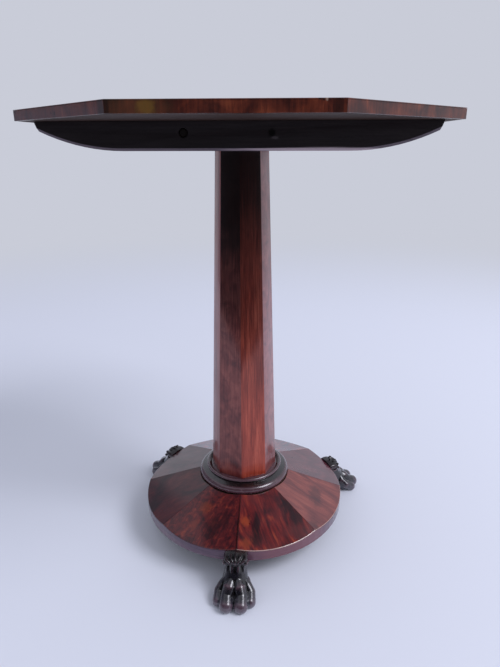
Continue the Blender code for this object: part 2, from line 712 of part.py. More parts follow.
def build_base():
    """The cored round base: eight sloping veneers on a core, and a band bent round the rim."""
    core_radius = BASE_RADIUS - RIM_BAND - GLUE_GAP
    core = piece("base_core", facet_solid("base_core", BASE_UNDERSIDE, CORE_TOP), GROUND_WOOD, STAND)
    low = BASE_UNDERSIDE - PASS_THROUGH
    high = CORE_TOP + PASS_THROUGH
    round_plan = rod("base_plan", (0, 0, low), (0, 0, high), core_radius, sides=RIM_SIDES)
    combine(core, cutter(round_plan), "INTERSECT")
    bm = bmesh.new()
    add_rod(bm, (0, 0, low), (0, 0, high), LOWER_TENON / 2 + GLUE_GAP, sides=TURNED_SIDES)
    for _, _, out in foot_places():
        foot = out * (BASE_RADIUS - DOWEL_INSET)
        top = foot + Vector((0, 0, BASE_UNDERSIDE + DOWEL_IN_BASE + GLUE_GAP))
        add_rod(bm, foot + Vector((0, 0, low)), top, DOWEL_DIAMETER / 2 + GLUE_GAP)
    combine(core, cutter(meshed(bm, "base_bores")))

    rim = BASE_RADIUS - RIM_BAND
    crest = BASE_UNDERSIDE + RIM_HEIGHT
    profile = [(BASE_RADIUS, crest), (BASE_RADIUS, BASE_UNDERSIDE), (rim, BASE_UNDERSIDE), (rim, crest)]
    ring = turned("base_rim_band", profile, RIM_SIDES, closed=True)
    band = piece("base_rim_band", ring, FLAME_WOOD, STAND)
    combine(band, cutter(facet_solid("rim_slope", low, CORE_TOP)), "INTERSECT")

    seam = GLUE_GAP / 2
    outline = []
    for radius, side in ((BASE_RADIUS, 1), (COLLAR_RADIUS + GLUE_GAP, -1)):
        end = HALF_FACET - math.asin(seam / radius)
        for turn in spread(-side * end, side * end, FACET_ARC_STEPS):
            outline.append((radius * math.sin(turn), radius * math.cos(turn) / math.cos(FACET_SLOPE)))
    veneer = plate("base_veneer", outline, BASE_VENEER)
    place = (0, 0, FACET_APEX - BASE_VENEER / 2 / math.cos(FACET_SLOPE))
    for facet in range(BASE_SIDES):
        turn = math.pi + HALF_FACET * (2 * facet + 1)
        piece(f"base_veneer_{facet + 1}", veneer, FLAME_WOOD, STAND, place, (-FACET_SLOPE, 0, turn))


def add_limb(bm, start, end, start_radii, end_radii):
    """A rounded limb that tapers from one ellipsoid to another, as a close row of them."""
    start, end = Vector(start), Vector(end)
    start_radii, end_radii = Vector(start_radii), Vector(end_radii)
    slimmest = min(*start_radii, *end_radii)
    count = 2 + int(2 * (end - start).length / slimmest)
    for share in spread(0, 1, count):
        add_ball(bm, start.lerp(end, share), start_radii.lerp(end_radii, share))


def even(radius):
    """The three radii of a ball."""
    return (radius, radius, radius)


def add_toes(bm, cuff_foot):
    """Two middle toes and two shorter outer ones, each a tip, a waist and a knuckle with its tendon."""
    for side in (-1, 1):
        for outer in (False, True):
            less = OUTER_TOE_SHRINK if outer else 0
            tip_radius = TOE_TIP - less
            across = PAW_WIDTH / 2 - tip_radius if outer else TOE_PITCH / 2
            out = BASE_RADIUS + PAW_REACH - tip_radius - (OUTER_TOE_SETBACK if outer else 0)
            drawn_in = across - KNUCKLE_SPREAD * across / (PAW_WIDTH / 2)
            tip = Vector((side * across, -out, tip_radius - TOE_TIP_SINK))
            waist = Vector((side * across, TOE_WAIST_BACK - out, TOE_WAIST_HEIGHT - less))
            knuckle = Vector((side * drawn_in, KNUCKLE_BACK - out, KNUCKLE_HEIGHT - less))
            add_limb(bm, tip, waist, even(tip_radius), even(TOE_WAIST - less))
            add_limb(bm, waist, knuckle, even(TOE_WAIST - less), even(KNUCKLE - less))
            root_x = side * across * (ANKLE_WIDTH - 2 * TENDON) / PAW_WIDTH
            root = (root_x, TENDON - BASE_RADIUS - INSTEP_REACH, cuff_foot)
            bend = (root_x, -BASE_RADIUS - BEND_OUT, BEND_HEIGHT)
            add_limb(bm, root, bend, even(TENDON), even(TENDON))
            add_limb(bm, bend, knuckle, even(TENDON), even(KNUCKLE - less))


def add_cuff(bm, cuff_foot):
    """A domed roll that lies across the rim, with leaves fanned up over its front from a ring under it."""
    dome = Vector((CUFF_ROUND, CUFF_REACH - CUFF_SET - LEAF_RELIEF, CUFF_HEIGHT / 2))
    centre = Vector((0, -BASE_RADIUS - CUFF_SET, cuff_foot + CUFF_HEIGHT / 2))
    for side in (-1, 1):
        end = centre + Vector((side * (CUFF_WIDTH / 2 - CUFF_ROUND), 0, 0))
        add_limb(bm, centre, end, dome, dome * CUFF_DROOP)
    half_fan = CUFF_WIDTH / 2 - LEAF_TIP
    low, high = LEAF_ARC
    for fan in spread(-LEAF_SPREAD, LEAF_SPREAD, LEAF_COUNT):
        for share in spread(0, 1, LEAF_STEPS):
            turn = low + (high - low) * share * math.cos(fan)
            across = share * math.sin(fan)
            here = dome * (1 + (CUFF_DROOP - 1) * abs(across))
            here = Vector((across * half_fan, -here.y * math.cos(turn), here.z * math.sin(turn)))
            add_ball(bm, centre + here, even(LEAF_ROOT + (LEAF_TIP - LEAF_ROOT) * share))
    for turn in spread(-RING_SWEEP, RING_SWEEP, RING_STEPS):
        x = (CUFF_WIDTH / 2 - CUFF_RING) * math.sin(turn)
        y = (RING_REACH - CUFF_RING) * math.sqrt(math.cos(turn))
        add_ball(bm, (x, -BASE_RADIUS - y, cuff_foot), even(CUFF_RING))


def paw_rough():
    """The paw facing -Y as overlapping round masses: instep, pad, toes, cuff and the heel under the base."""
    cuff_foot = BASE_UNDERSIDE + CUFF_RISE - CUFF_HEIGHT
    ankle = (0, -BASE_RADIUS - ANKLE_OUT, cuff_foot)
    ankle_radii = (ANKLE_WIDTH / 2, ANKLE_DEPTH / 2, CUFF_HEIGHT / 2)
    forefoot = (0, -BASE_RADIUS - FOREFOOT_OUT, (FOREFOOT_HEIGHT - FOREFOOT_SINK) / 2)
    forefoot_radii = (FOREFOOT_WIDTH / 2, FOREFOOT_DEPTH / 2, (FOREFOOT_HEIGHT + FOREFOOT_SINK) / 2)
    pad = (0, -BASE_RADIUS - PAD_OUT, PAD_HEIGHT / 2)
    heel = (0, HEEL_DEPTH / 2 - BASE_RADIUS, BASE_UNDERSIDE)
    bm = bmesh.new()
    add_limb(bm, ankle, forefoot, ankle_radii, forefoot_radii)
    add_ball(bm, pad, (PAD_WIDTH / 2, PAD_DEPTH / 2, PAD_HEIGHT / 2))
    add_ball(bm, heel, (HEEL_WIDTH / 2, HEEL_DEPTH / 2, BASE_UNDERSIDE - HEEL_LIFT))
    add_toes(bm, cuff_foot)
    add_cuff(bm, cuff_foot)
    return meshed(bm, "paw_rough")


def build_feet():
    """Three carved paws, notched to seat under the base and against its rim, each on a dowel."""
    remesh = dict(mode="VOXEL", voxel_size=PAW_GRAIN)
    smooth = dict(factor=PAW_SOFTNESS, iterations=PAW_SMOOTHING)
    thin = dict(ratio=PAW_KEPT)
    carved = baked(paw_rough(), ("REMESH", remesh), ("SMOOTH", smooth), ("DECIMATE", thin))
    carved = meshed(carved, "paw_foot")

    wide = BASE_RADIUS + PAW_REACH + PASS_THROUGH
    floor = cutter(box("floor", (-wide, -wide, -wide), (wide, wide, 0)))
    notch = rod(
        "base_notch",
        (0, 0, BASE_UNDERSIDE - GLUE_GAP),
        (0, 0, FACET_APEX),
        BASE_RADIUS + GLUE_GAP,
        sides=RIM_SIDES,
    )
    notch = cutter(notch)
    dowel_low = BASE_UNDERSIDE - DOWEL_IN_FOOT
    bm = bmesh.new()
    for _, _, out in foot_places():
        place = out * (BASE_RADIUS - DOWEL_INSET)
        low = place + Vector((0, 0, dowel_low - GLUE_GAP))
        high = place + Vector((0, 0, BASE_UNDERSIDE + PASS_THROUGH))
        add_rod(bm, low, high, DOWEL_DIAMETER / 2 + GLUE_GAP)
    bores = cutter(meshed(bm, "foot_bores"))
    dowel = rod("foot_dowel", (0, 0, dowel_low), (0, 0, BASE_UNDERSIDE + DOWEL_IN_BASE), DOWEL_DIAMETER / 2)
    for name, turn, out in foot_places():
        foot = piece(f"paw_foot_{name}", carved, CARVED_WOOD, STAND, rotation=(0, 0, turn))
        for tool in (floor, notch, bores):
            combine(foot, tool)
        piece(f"foot_dowel_{name}", dowel, OAK, STAND, out * (BASE_RADIUS - DOWEL_INSET))


def build_catch():
    """The brass catch under the top: a flanged case and a bolt with a turned knob that slides in it."""
    flange_low = SEAT_UNDER_TOP - FLANGE_THICKNESS
    case_low = SEAT_UNDER_TOP - CATCH_HEIGHT
    case_end = CATCH_START + CATCH_LENGTH
    case = box(
        "catch_case",
        (CATCH_START, -CATCH_WIDTH / 2, case_low),
        (case_end, CATCH_WIDTH / 2, SEAT_UNDER_TOP),
    )
    case = piece("catch_case", case, BRASS, TILT)
    flange = box(
        "catch_flange",
        (CATCH_START, -FLANGE_WIDTH / 2, flange_low),
        (case_end, FLANGE_WIDTH / 2, SEAT_UNDER_TOP),
    )
    combine(case, cutter(flange), "UNION")
    half_width = BOLT_WIDTH / 2 + RUNNING_GAP
    half_height = BOLT_HEIGHT / 2 + RUNNING_GAP
    channel = box(
        "bolt_channel",
        (CATCH_START - PASS_THROUGH, -half_width, BOLT_AXIS - half_height),
        (BOLT_NOSE + BOLT_LENGTH + RUNNING_GAP, half_width, BOLT_AXIS + half_height),
    )
    knob_x = BOLT_NOSE + KNOB_PLACE
    stem = KNOB_STEM / 2 + RUNNING_GAP
    slot = box(
        "knob_slot",
        (knob_x - BOLT_THROW - stem, -stem, case_low - PASS_THROUGH),
        (knob_x + stem, stem, BOLT_AXIS),
    )
    bm = bmesh.new()
    for x, y in catch_screw_places():
        start = (x, y, flange_low - PASS_THROUGH)
        end = (x, y, SEAT_UNDER_TOP + PASS_THROUGH)
        add_rod(bm, start, end, SMALL_SCREW_SHANK / 2 + GLUE_GAP, sides=SCREW_SIDES)
    for mesh in (channel, slot, meshed(bm, "flange_holes")):
        combine(case, cutter(mesh))
    screw = wood_screw(
        SMALL_SCREW_SHANK, SMALL_SCREW_HEAD, SMALL_SCREW_HEAD_HEIGHT, FLANGE_THICKNESS + SMALL_SCREW_BITE
    )
    for number, (x, y) in enumerate(catch_screw_places(), 1):
        piece(f"catch_screw_{number}", screw, BRASS, TILT, (x, y, flange_low - GLUE_GAP))

    bar = box(
        "catch_bolt",
        (0, -BOLT_WIDTH / 2, -BOLT_HEIGHT / 2),
        (BOLT_LENGTH, BOLT_WIDTH / 2, BOLT_HEIGHT / 2),
    )
    bolt = piece("catch_bolt", bar, BRASS, CATCH, CATCH.location)
    head_top = case_low - KNOB_STAND - BOLT_AXIS
    head_middle = head_top - KNOB_HEAD_HEIGHT / 2
    profile = [(0, 0), (KNOB_STEM / 2, 0), (KNOB_STEM / 2, head_top)]
    profile += [
        (KNOB_HEAD / 2 * math.cos(turn), head_middle + KNOB_HEAD_HEIGHT / 2 * math.sin(turn))
        for turn in spread(KNOB_SHOULDER, -math.pi / 2, KNOB_STEPS)[:-1]
    ]
    profile.append((0, head_middle - KNOB_HEAD_HEIGHT / 2))
    knob = turned("knob", profile, HOLE_SIDES)
    combine(bolt, cutter(knob, (knob_x, 0, BOLT_AXIS)), "UNION")


build_top()
build_bearers()
build_block()
build_column()
build_collar()
build_base()
build_feet()
build_catch()
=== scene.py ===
"""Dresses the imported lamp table: figured veneers under polish, carved feet, a brass catch, and a plain studio.

Metres and radians, +Z up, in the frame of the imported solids. The front bearer and the front foot face -Y.
"""

import json
import logging
import math
from dataclasses import dataclass, field, replace
from enum import Enum
from typing import Callable

import bmesh
import bpy
import numpy as np
from bmesh.types import BMEdge, BMesh
from bpy.types import ID, Material, Mesh, Node, NodeSocket, NodeTree, Object
from mathutils import Matrix, Vector

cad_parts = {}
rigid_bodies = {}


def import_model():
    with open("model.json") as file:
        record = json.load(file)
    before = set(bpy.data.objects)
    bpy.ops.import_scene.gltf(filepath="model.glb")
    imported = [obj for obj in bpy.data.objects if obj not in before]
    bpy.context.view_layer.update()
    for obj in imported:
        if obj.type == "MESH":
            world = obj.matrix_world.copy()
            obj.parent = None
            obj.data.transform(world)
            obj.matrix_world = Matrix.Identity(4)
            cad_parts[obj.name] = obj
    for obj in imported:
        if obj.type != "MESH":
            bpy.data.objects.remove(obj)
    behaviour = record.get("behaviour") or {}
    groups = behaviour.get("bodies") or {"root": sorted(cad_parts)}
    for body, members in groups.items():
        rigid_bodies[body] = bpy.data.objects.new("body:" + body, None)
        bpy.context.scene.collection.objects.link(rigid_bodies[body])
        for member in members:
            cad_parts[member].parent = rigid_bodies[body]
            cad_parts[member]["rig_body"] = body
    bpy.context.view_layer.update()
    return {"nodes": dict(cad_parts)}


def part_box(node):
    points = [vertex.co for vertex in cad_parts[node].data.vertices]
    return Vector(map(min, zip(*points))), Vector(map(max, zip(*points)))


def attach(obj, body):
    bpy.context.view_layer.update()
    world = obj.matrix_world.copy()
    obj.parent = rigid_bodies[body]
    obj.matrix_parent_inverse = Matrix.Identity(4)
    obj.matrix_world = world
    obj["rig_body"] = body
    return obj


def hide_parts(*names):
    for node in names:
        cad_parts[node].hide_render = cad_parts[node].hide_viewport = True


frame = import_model()

LOG = logging.getLogger("lamp_table")
MM = 0.001
SIDES = 8  # of the top, the column and the base
WELD = 1e-6
FLAT = math.radians(1.0)  # faces that meet at less are one face
ARRIS = math.radians(28.0)  # faces that meet at more have an edge between them
UP = Vector((0, 0, 1))
WOOD_IOR = 1.5  # of wood, wax and shellac alike

Colour = tuple[float, float, float, float]
Triple = tuple[float, float, float]
Pair = tuple[float, float]
Shades = tuple[str, ...]


def linear(code: str) -> Colour:
    """Turns an sRGB hex value to linear light.

    Args:
        code: The colour as #rrggbb.

    Returns:
        Red, green and blue in linear light, and an alpha of one.
    """
    shares = [int(code[at:at + 2], 16) / 255 for at in (1, 3, 5)]
    red, green, blue = (s / 12.92 if s <= 0.04045 else ((s + 0.055) / 1.055) ** 2.4 for s in shares)
    return red, green, blue, 1.0


def fill(tree: NodeTree, node: Node, inputs: dict) -> None:
    """Sets or links a node's inputs.

    Args:
        tree: The tree that the node is in.
        node: The node.
        inputs: A value, or the socket to link, for each input by its name or number.
    """
    for key, value in inputs.items():
        if isinstance(value, NodeSocket):
            tree.links.new(value, node.inputs[key])
        else:
            node.inputs[key].default_value = value


def add(
    tree: NodeTree,
    kind: str,
    inputs: dict | None = None,
    out: int | str = 0,
    stops: list[tuple[float, str]] | None = None,
    **settings: object,
) -> NodeSocket:
    """Adds a shader node with its settings and links.

    Args:
        tree: The tree that the node goes into.
        kind: The node's type, without ShaderNode in front.
        inputs: A value, or the socket to link, for each input by its name or number.
        out: The output that is wanted, by its name or number.
        stops: The places and hex colours of a colour ramp.
        **settings: The node's own properties.

    Returns:
        That output.
    """
    node = tree.nodes.new("ShaderNode" + kind)
    for name, value in settings.items():
        setattr(node, name, value)
    fill(tree, node, inputs or {})
    if stops:
        ramp = node.color_ramp.elements
        while len(ramp) < len(stops):
            ramp.new(1.0)
        for element, (place, code) in zip(ramp, stops):
            element.position = place
            element.color = linear(code)
    return node.outputs[out]


def started(name: str) -> tuple[Material, NodeTree, Node]:
    """Starts a material.

    Args:
        name: The material's name.

    Returns:
        The material, its nodes and its shader.
    """
    material = bpy.data.materials.new(name)
    material.use_nodes = True
    return material, material.node_tree, material.node_tree.nodes["Principled BSDF"]


def spread(start: float, stop: float, count: int) -> list[float]:
    """Spaces values evenly, both ends included.

    Args:
        start: The first value.
        stop: The last value.
        count: How many there are.

    Returns:
        The values in order.
    """
    return [start + (stop - start) * step / (count - 1) for step in range(count)]


class Figure(Enum):
    """How the figure of a wood runs: its length over its width, and how far it is twisted."""

    STRAIGHT = (14.0, 0.3)
    MOTTLED = (1.3, 1.0)
    FLAME = (3.2, 2.4)


# A mark's edge, as shares of the mark's size
RAGGED = 0.9  # how far noise eats into the edge
SOFT_EDGE = 0.6  # width over which the mark fades


@dataclass(frozen=True)
class Mark:
    """A small blemish at one place of a surface.

    Attributes:
        place: Its middle, in metres.
        size: Its half sizes, in metres.
        colour: Its colour as hex.
        strength: How much of the wood it covers, from 0 to 1.
        frayed: How far the grain frays its edge, as a share of its size.
    """

    place: Triple
    size: Triple
    colour: str
    strength: float = 0.9
    frayed: float = 0.0


# Wood. The pairs are levels of a noise that runs from 0 to 1.
STREAK_LENGTH, PORE_LENGTH = 24.0, 14.0  # in widths
SHADE_LEVELS = (0.30, 0.70)  # of the darkest and the palest shade
PORE_LEVELS = (0.56, 0.72)  # closed and open
PORE_DARKNESS = 0.5
PORE_SINK = -2.0  # depth of a pore against the height of a streak
PAINTED_LIGHT_OFFSET = 0.12  # painted light that a streak shows anywhere
PAINTED_LIGHT_LEVELS = (0.2, 0.6)
HANDLED_MM, HANDLED_LENGTH = 45.0, 1.5  # patches that hands have dulled or rubbed up
HANDLED_LEVELS = (0.35, 0.65)
RUBBED_UP, DULLED = -0.05, 0.08  # what handling does to the roughness
PORE_BUMP = 0.5
BARE, HAZY = 0.15, 0.5  # specular levels: shellac has nearly the wood's own index, but haze lays a grey sheen


@dataclass(frozen=True)
class WoodFinish:
    """A sawn and planed wood with its figure, pores and polish.

    The grain runs along local Y and Z and the streaks lie side by side along local X.

    Attributes:
        name: The wood and how its surface was made.
        shades: Hex colours from the darkest streak to the palest.
        figure: The way the figure runs.
        figure_mm: Width of the broad clouds or plumes.
        grain_mm: Width of a grain streak.
        pore_mm: Width of a pore, drawn coarser than the real 0.15 mm so that it shows.
        turn: Turns the table's axes to the grain's.
        seed: Picks the piece of wood.
        figure_share: How much the figure counts against the streaks.
        roughness: Of the wood under its polish.
        polish: Weight of the clear coat.
        polish_roughness: Roughness of that coat.
        specular: Specular level of the wood itself.
        relief_mm: Depth of the pores.
        painted_light_colour: Hex colour of painted light, where the mesh marks it.
        marks: Blemishes.
    """

    name: str
    shades: Shades
    figure: Figure = Figure.STRAIGHT
    figure_mm: float = 30.0
    grain_mm: float = 2.2
    pore_mm: float = 0.7
    turn: Triple = (0.0, 0.0, 0.0)
    seed: float = 0.0
    figure_share: float = 0.6
    roughness: float = 0.36
    polish: float = 0.35
    polish_roughness: float = 0.12
    specular: float = BARE
    relief_mm: float = 0.06
    painted_light_colour: str = ""
    marks: tuple[Mark, ...] = ()

    def noise(
        self, tree: NodeTree, grain: NodeSocket, width: float, length: float, **more: float
    ) -> NodeSocket:
        """Draws noise that is longer along the grain than across it.

        Args:
            tree: The material's nodes.
            grain: Coordinates that are turned to the grain, in metres.
            width: Size across the grain, in millimetres.
            length: Size along the grain as a multiple of the width.
            **more: Further inputs of the noise, by name.

        Returns:
            The noise, about 0.5 on average.
        """
        across, along = 1 / (width * MM), 1 / (width * MM * length)
        place = add(tree, "VectorMath", {0: grain, 1: (across, along, along)}, operation="MULTIPLY")
        inputs = {"Vector": place, "W": self.seed, "Scale": 1.0, **more}
        return add(tree, "TexNoise", inputs, noise_dimensions="4D")

    def blemish(
        self, tree: NodeTree, place: NodeSocket, streaks: NodeSocket, colour: NodeSocket, mark: Mark
    ) -> NodeSocket:
        """Lays one mark over the wood's colour.

        Args:
            tree: The material's nodes.
            place: Coordinates of the table, in metres.
            streaks: The grain's streaks, which fray the mark.
            colour: The colour so far.
            mark: The blemish.

        Returns:
            The colour with the mark in it.
        """
        shares = tuple(1 / size for size in mark.size)
        start = tuple(-at * share for at, share in zip(mark.place, shares))
        near = add(tree, "VectorMath", {0: place, 1: shares, 2: start}, operation="MULTIPLY_ADD")
        away = add(tree, "VectorMath", {0: near}, "Value", operation="LENGTH")
        ragged = add(tree, "TexNoise", {"Vector": near, "Scale": 1.7, "Detail": 2.0})
        edge = add(tree, "Math", {0: ragged, 1: RAGGED, 2: away}, operation="MULTIPLY_ADD")
        if mark.frayed:
            edge = add(tree, "Math", {0: streaks, 1: mark.frayed, 2: edge}, operation="MULTIPLY_ADD")
        inside = RAGGED + mark.frayed / 2
        levels = {0: edge, 1: inside, 2: inside + SOFT_EDGE, 3: mark.strength, 4: 0.0}
        cover = add(tree, "MapRange", levels, interpolation_type="SMOOTHSTEP")
        return add(tree, "Mix", {0: cover, 6: colour, 7: linear(mark.colour)}, 2, data_type="RGBA")

    def build(self) -> Material:
        """Makes the material.

        Returns:
            A procedural wood.
        """
        material, tree, shader = started(self.name)
        place = add(tree, "TexCoord", out="Object")
        grain = add(tree, "Mapping", {"Vector": place, "Rotation": self.turn})
        length, twist = self.figure.value
        clouds = self.noise(tree, grain, self.figure_mm, length, Detail=4.0, Distortion=twist)
        streaks = self.noise(tree, grain, self.grain_mm, STREAK_LENGTH, Detail=3.0, Distortion=0.4)
        pores = self.noise(tree, grain, self.pore_mm, PORE_LENGTH, Detail=1.0)
        drawn = add(tree, "Mix", {0: self.figure_share, 2: streaks, 3: clouds}, data_type="FLOAT")
        stops = list(zip(spread(*SHADE_LEVELS, len(self.shades)), self.shades))
        colour = add(tree, "ValToRGB", {0: drawn}, stops=stops)
        low, high = PORE_LEVELS
        opened = add(tree, "MapRange", {0: pores, 1: low, 2: high, 3: 0.0, 4: PORE_DARKNESS})
        darkest = linear(self.shades[0])
        colour = add(tree, "Mix", {0: opened, 6: colour, 7: darkest}, 2, data_type="RGBA")
        # Painted light: a pale colour where the mesh marks it.
        if self.painted_light_colour:
            painted_light = add(tree, "Attribute", out="Fac", attribute_name="painted_light")
            patchy = add(tree, "Math", {0: painted_light, 1: streaks, 2: PAINTED_LIGHT_OFFSET}, operation="MULTIPLY_ADD")
            reach = add(tree, "MapRange", {0: patchy, 1: PAINTED_LIGHT_LEVELS[0], 2: PAINTED_LIGHT_LEVELS[1]})
            colour = add(tree, "Mix", {0: reach, 6: colour, 7: linear(self.painted_light_colour)}, 2, data_type="RGBA")
        for mark in self.marks:
            colour = self.blemish(tree, place, streaks, colour, mark)
        handled = self.noise(tree, grain, HANDLED_MM, HANDLED_LENGTH, Detail=3.0)
        low, high = HANDLED_LEVELS
        levels = {0: handled, 1: low, 2: high, 3: self.roughness + RUBBED_UP, 4: self.roughness + DULLED}
        height = add(tree, "Math", {0: opened, 1: PORE_SINK, 2: streaks}, operation="MULTIPLY_ADD")
        relief = {"Height": height, "Strength": PORE_BUMP, "Distance": self.relief_mm * MM}
        finish = {
            "Base Color": colour,
            "Roughness": add(tree, "MapRange", levels),
            "Normal": add(tree, "Bump", relief),
            "IOR": WOOD_IOR,
            "Specular IOR Level": self.specular,
            "Coat Weight": self.polish,
            "Coat Roughness": self.polish_roughness,
            "Coat IOR": WOOD_IOR,
        }
        fill(tree, shader, finish)
        return material


# Carved wood
UNEVEN = 0.5  # how much the gouge's facets break up the relief
RELIEF_LEVELS = (0.05, 0.30, 0.55, 0.95)  # hollow, plain from, plain to, proud
KNOCKED, UNDER_BASE_SHADE_COVER = 0.75, 0.85  # most that knocks, and the painted shade under the base, cover
UNDER_BASE_SHEEN = 0.45  # share of the shine left where the painted shade under the base lies
GOUGE_LEVELS = (0.3, 0.7)
GOUGE_BUMP = 0.35
SMOOTHER, ROUGHER = -0.05, 0.12  # what the gouge's facets do to the roughness


@dataclass(frozen=True)
class CarvedFinish:
    """Mahogany that was cut, stained nearly black and waxed: dirt in the hollows, rubbed red-brown when proud.

    Attributes:
        name: The wood and how its surface was made.
        hollow: Hex colour in the deepest cuts.
        plain: Hex colour between.
        proud: Hex colour of the rubbed high places.
        scuffed: Hex colour of knocks near the floor.
        scuff_height: How far up from the floor the knocks reach, in metres.
        under_base_shade: Heights between which the wood is painted darker, as shade under the base, and its wax
            dulled, in metres.
        roughness: Of the waxed wood.
        wax: Weight of the clear coat.
        wax_roughness: Roughness of that coat.
        tool_mm: Width of a gouge's facets.
        relief_mm: Depth of a gouge's facets.
    """

    name: str
    hollow: str = "#070405"
    plain: str = "#14121a"
    proud: str = "#452e37"
    scuffed: str = "#767686"
    scuff_height: float = 0.0
    under_base_shade: Pair = (0.0, 0.0)
    roughness: float = 0.24
    wax: float = 0.9
    wax_roughness: float = 0.20
    tool_mm: float = 4.0
    relief_mm: float = 0.3

    def build(self) -> Material:
        """Makes the material.

        Returns:
            A procedural carved wood that reads the mesh's relief.
        """
        material, tree, shader = started(self.name)
        place = add(tree, "TexCoord", out="Object")
        relief = add(tree, "Attribute", out="Fac", attribute_name="proud")
        gouged = add(tree, "TexNoise", {"Vector": place, "Scale": 1 / (self.tool_mm * MM), "Detail": 3.0})
        uneven = add(tree, "Math", {0: gouged, 1: UNEVEN, 2: relief}, operation="MULTIPLY_ADD")
        stops = list(zip(RELIEF_LEVELS, (self.hollow, self.plain, self.plain, self.proud)))
        colour = add(tree, "ValToRGB", {0: uneven}, stops=stops)
        sheen = {"Coat Weight": self.wax, "Specular IOR Level": HAZY}
        if self.scuff_height:
            height = add(tree, "SeparateXYZ", {0: place}, "Z")
            knocked = add(tree, "MapRange", {0: height, 1: 0.0, 2: self.scuff_height, 3: KNOCKED, 4: 0.0})
            patchy = add(tree, "Math", {0: knocked, 1: gouged}, operation="MULTIPLY")
            colour = add(tree, "Mix", {0: patchy, 6: colour, 7: linear(self.scuffed)}, 2, data_type="RGBA")
            # Painted shade under the base: darker, and with duller wax, towards the top.
            rising = {0: height, 1: self.under_base_shade[0], 2: self.under_base_shade[1]}
            under_base_shade_share = add(tree, "MapRange", {**rising, 3: 0.0, 4: UNDER_BASE_SHADE_COVER})
            colour = add(tree, "Mix", {0: under_base_shade_share, 6: colour, 7: linear(self.hollow)}, 2, data_type="RGBA")
            for name, clean in sheen.items():
                sheen[name] = add(tree, "MapRange", {**rising, 3: clean, 4: UNDER_BASE_SHEEN * clean})
        low, high = GOUGE_LEVELS
        levels = {0: gouged, 1: low, 2: high, 3: self.roughness + SMOOTHER, 4: self.roughness + ROUGHER}
        finish = {
            "Base Color": colour,
            "Roughness": add(tree, "MapRange", levels),
            "Normal": add(
                tree, "Bump", {"Height": gouged, "Strength": GOUGE_BUMP, "Distance": self.relief_mm * MM}
            ),
            "IOR": WOOD_IOR,
            "Coat Roughness": self.wax_roughness,
            **sheen,
        }
        fill(tree, shader, finish)
        return material


# Metal
CLEAN_LEVEL = 0.65  # of a noise, over which a metal with no tarnish is dulled
TARNISH_REACH = 0.4  # how far full tarnish brings that level down, and how softly a patch fades
TARNISH_DULLS = 0.3  # what tarnish adds to the roughness
FILE_MARKS = (150.0, 3000.0, 3000.0)  # per metre, drawn coarser than real ones so that they show
FILE_BUMP, FILE_DEPTH_MM = 0.25, 0.05


@dataclass(frozen=True)
class MetalFinish:
    """An old bare metal: bright where it is rubbed, dulled in patches, with fine scratches.

    Attributes:
        name: The metal and how its surface was made.
        bright: Hex colour of the rubbed metal.
        dull: Hex colour of the tarnish.
        roughness: Of the rubbed metal.
        patch_mm: Size of the tarnished patches.
        tarnish: How much of the surface is dulled, from 0 to 1.
    """

    name: str
    bright: str
    dull: str
    roughness: float
    patch_mm: float
    tarnish: float

    def build(self) -> Material:
        """Makes the material.

        Returns:
            A procedural metal.
        """
        material, tree, shader = started(self.name)
        place = add(tree, "TexCoord", out="Object")
        patches = add(tree, "TexNoise", {"Vector": place, "Scale": 1 / (self.patch_mm * MM), "Detail": 5.0})
        low = CLEAN_LEVEL - TARNISH_REACH * self.tarnish
        dulled = add(tree, "MapRange", {0: patches, 1: low, 2: low + TARNISH_REACH})
        colours = {0: dulled, 6: linear(self.bright), 7: linear(self.dull)}
        filed = add(tree, "VectorMath", {0: place, 1: FILE_MARKS}, operation="MULTIPLY")
        scratches = add(tree, "TexNoise", {"Vector": filed, "Scale": 1.0, "Detail": 2.0})
        relief = {"Height": scratches, "Strength": FILE_BUMP, "Distance": FILE_DEPTH_MM * MM}
        finish = {
            "Base Color": add(tree, "Mix", colours, 2, data_type="RGBA"),
            "Roughness": add(
                tree, "MapRange", {0: dulled, 3: self.roughness, 4: self.roughness + TARNISH_DULLS}
            ),
            "Normal": add(tree, "Bump", relief),
            "Metallic": 1.0,
        }
        fill(tree, shader, finish)
        return material


QUARTER = math.pi / 2
# French-polished mahogany: a deep red-brown that the shellac makes clear and glossy.
MAHOGANY = ("#240a09", "#42140f", "#5f2015", "#7c331d")
# Flame veneer from a crotch: plum-dark plumes and orange flecks.
DEEP_RED = ("#1c0a12", "#421219", "#6c2020", "#a0482c")
# Cross-grained lipping: more orange, with short streaks across the edge.
CROSSBAND = ("#1b0a08", "#3c160f", "#592516", "#783a22")
# Beech under a black stain: almost no figure, a dull sheen.
STAINED = ("#1a1416", "#221c1e", "#2b2526")
# Pine that was planed and thinly stained: gone grey-brown, with no shine.
GROUND_PINE = WoodFinish(
    "pine_planed_and_thinly_stained",
    ("#2b1d18", "#372620", "#43302a"),
    figure_mm=40.0,
    grain_mm=5.0,
    turn=(0.0, 0.0, QUARTER),
    seed=5.0,
    roughness=0.65,
    polish=0.0,
)
# Pine that was sawn and stained: rougher, with stronger streaks.
CORE_PINE = replace(
    GROUND_PINE,
    name="pine_sawn_and_stained",
    shades=("#2a1d18", "#3a2a22", "#4c392e"),
    seed=6.0,
    roughness=0.7,
)
# Riven oak: plain brown streaks, dry and dirty at the ends that show.
WEDGE_OAK = WoodFinish("oak_riven", ("#3a2818", "#5c4128", "#7a5a3a"), seed=4.0, roughness=0.6, polish=0.0)
DOWEL_OAK = replace(WEDGE_OAK, name="oak_dowel_riven", seed=8.0)
# Turned oak, oiled and handled until it is as dark as the stained rails.
PIN_OAK = WoodFinish("oak_turned_and_oiled", ("#0e0a09", "#171110", "#2a211d"), seed=2.0, polish=0.1)
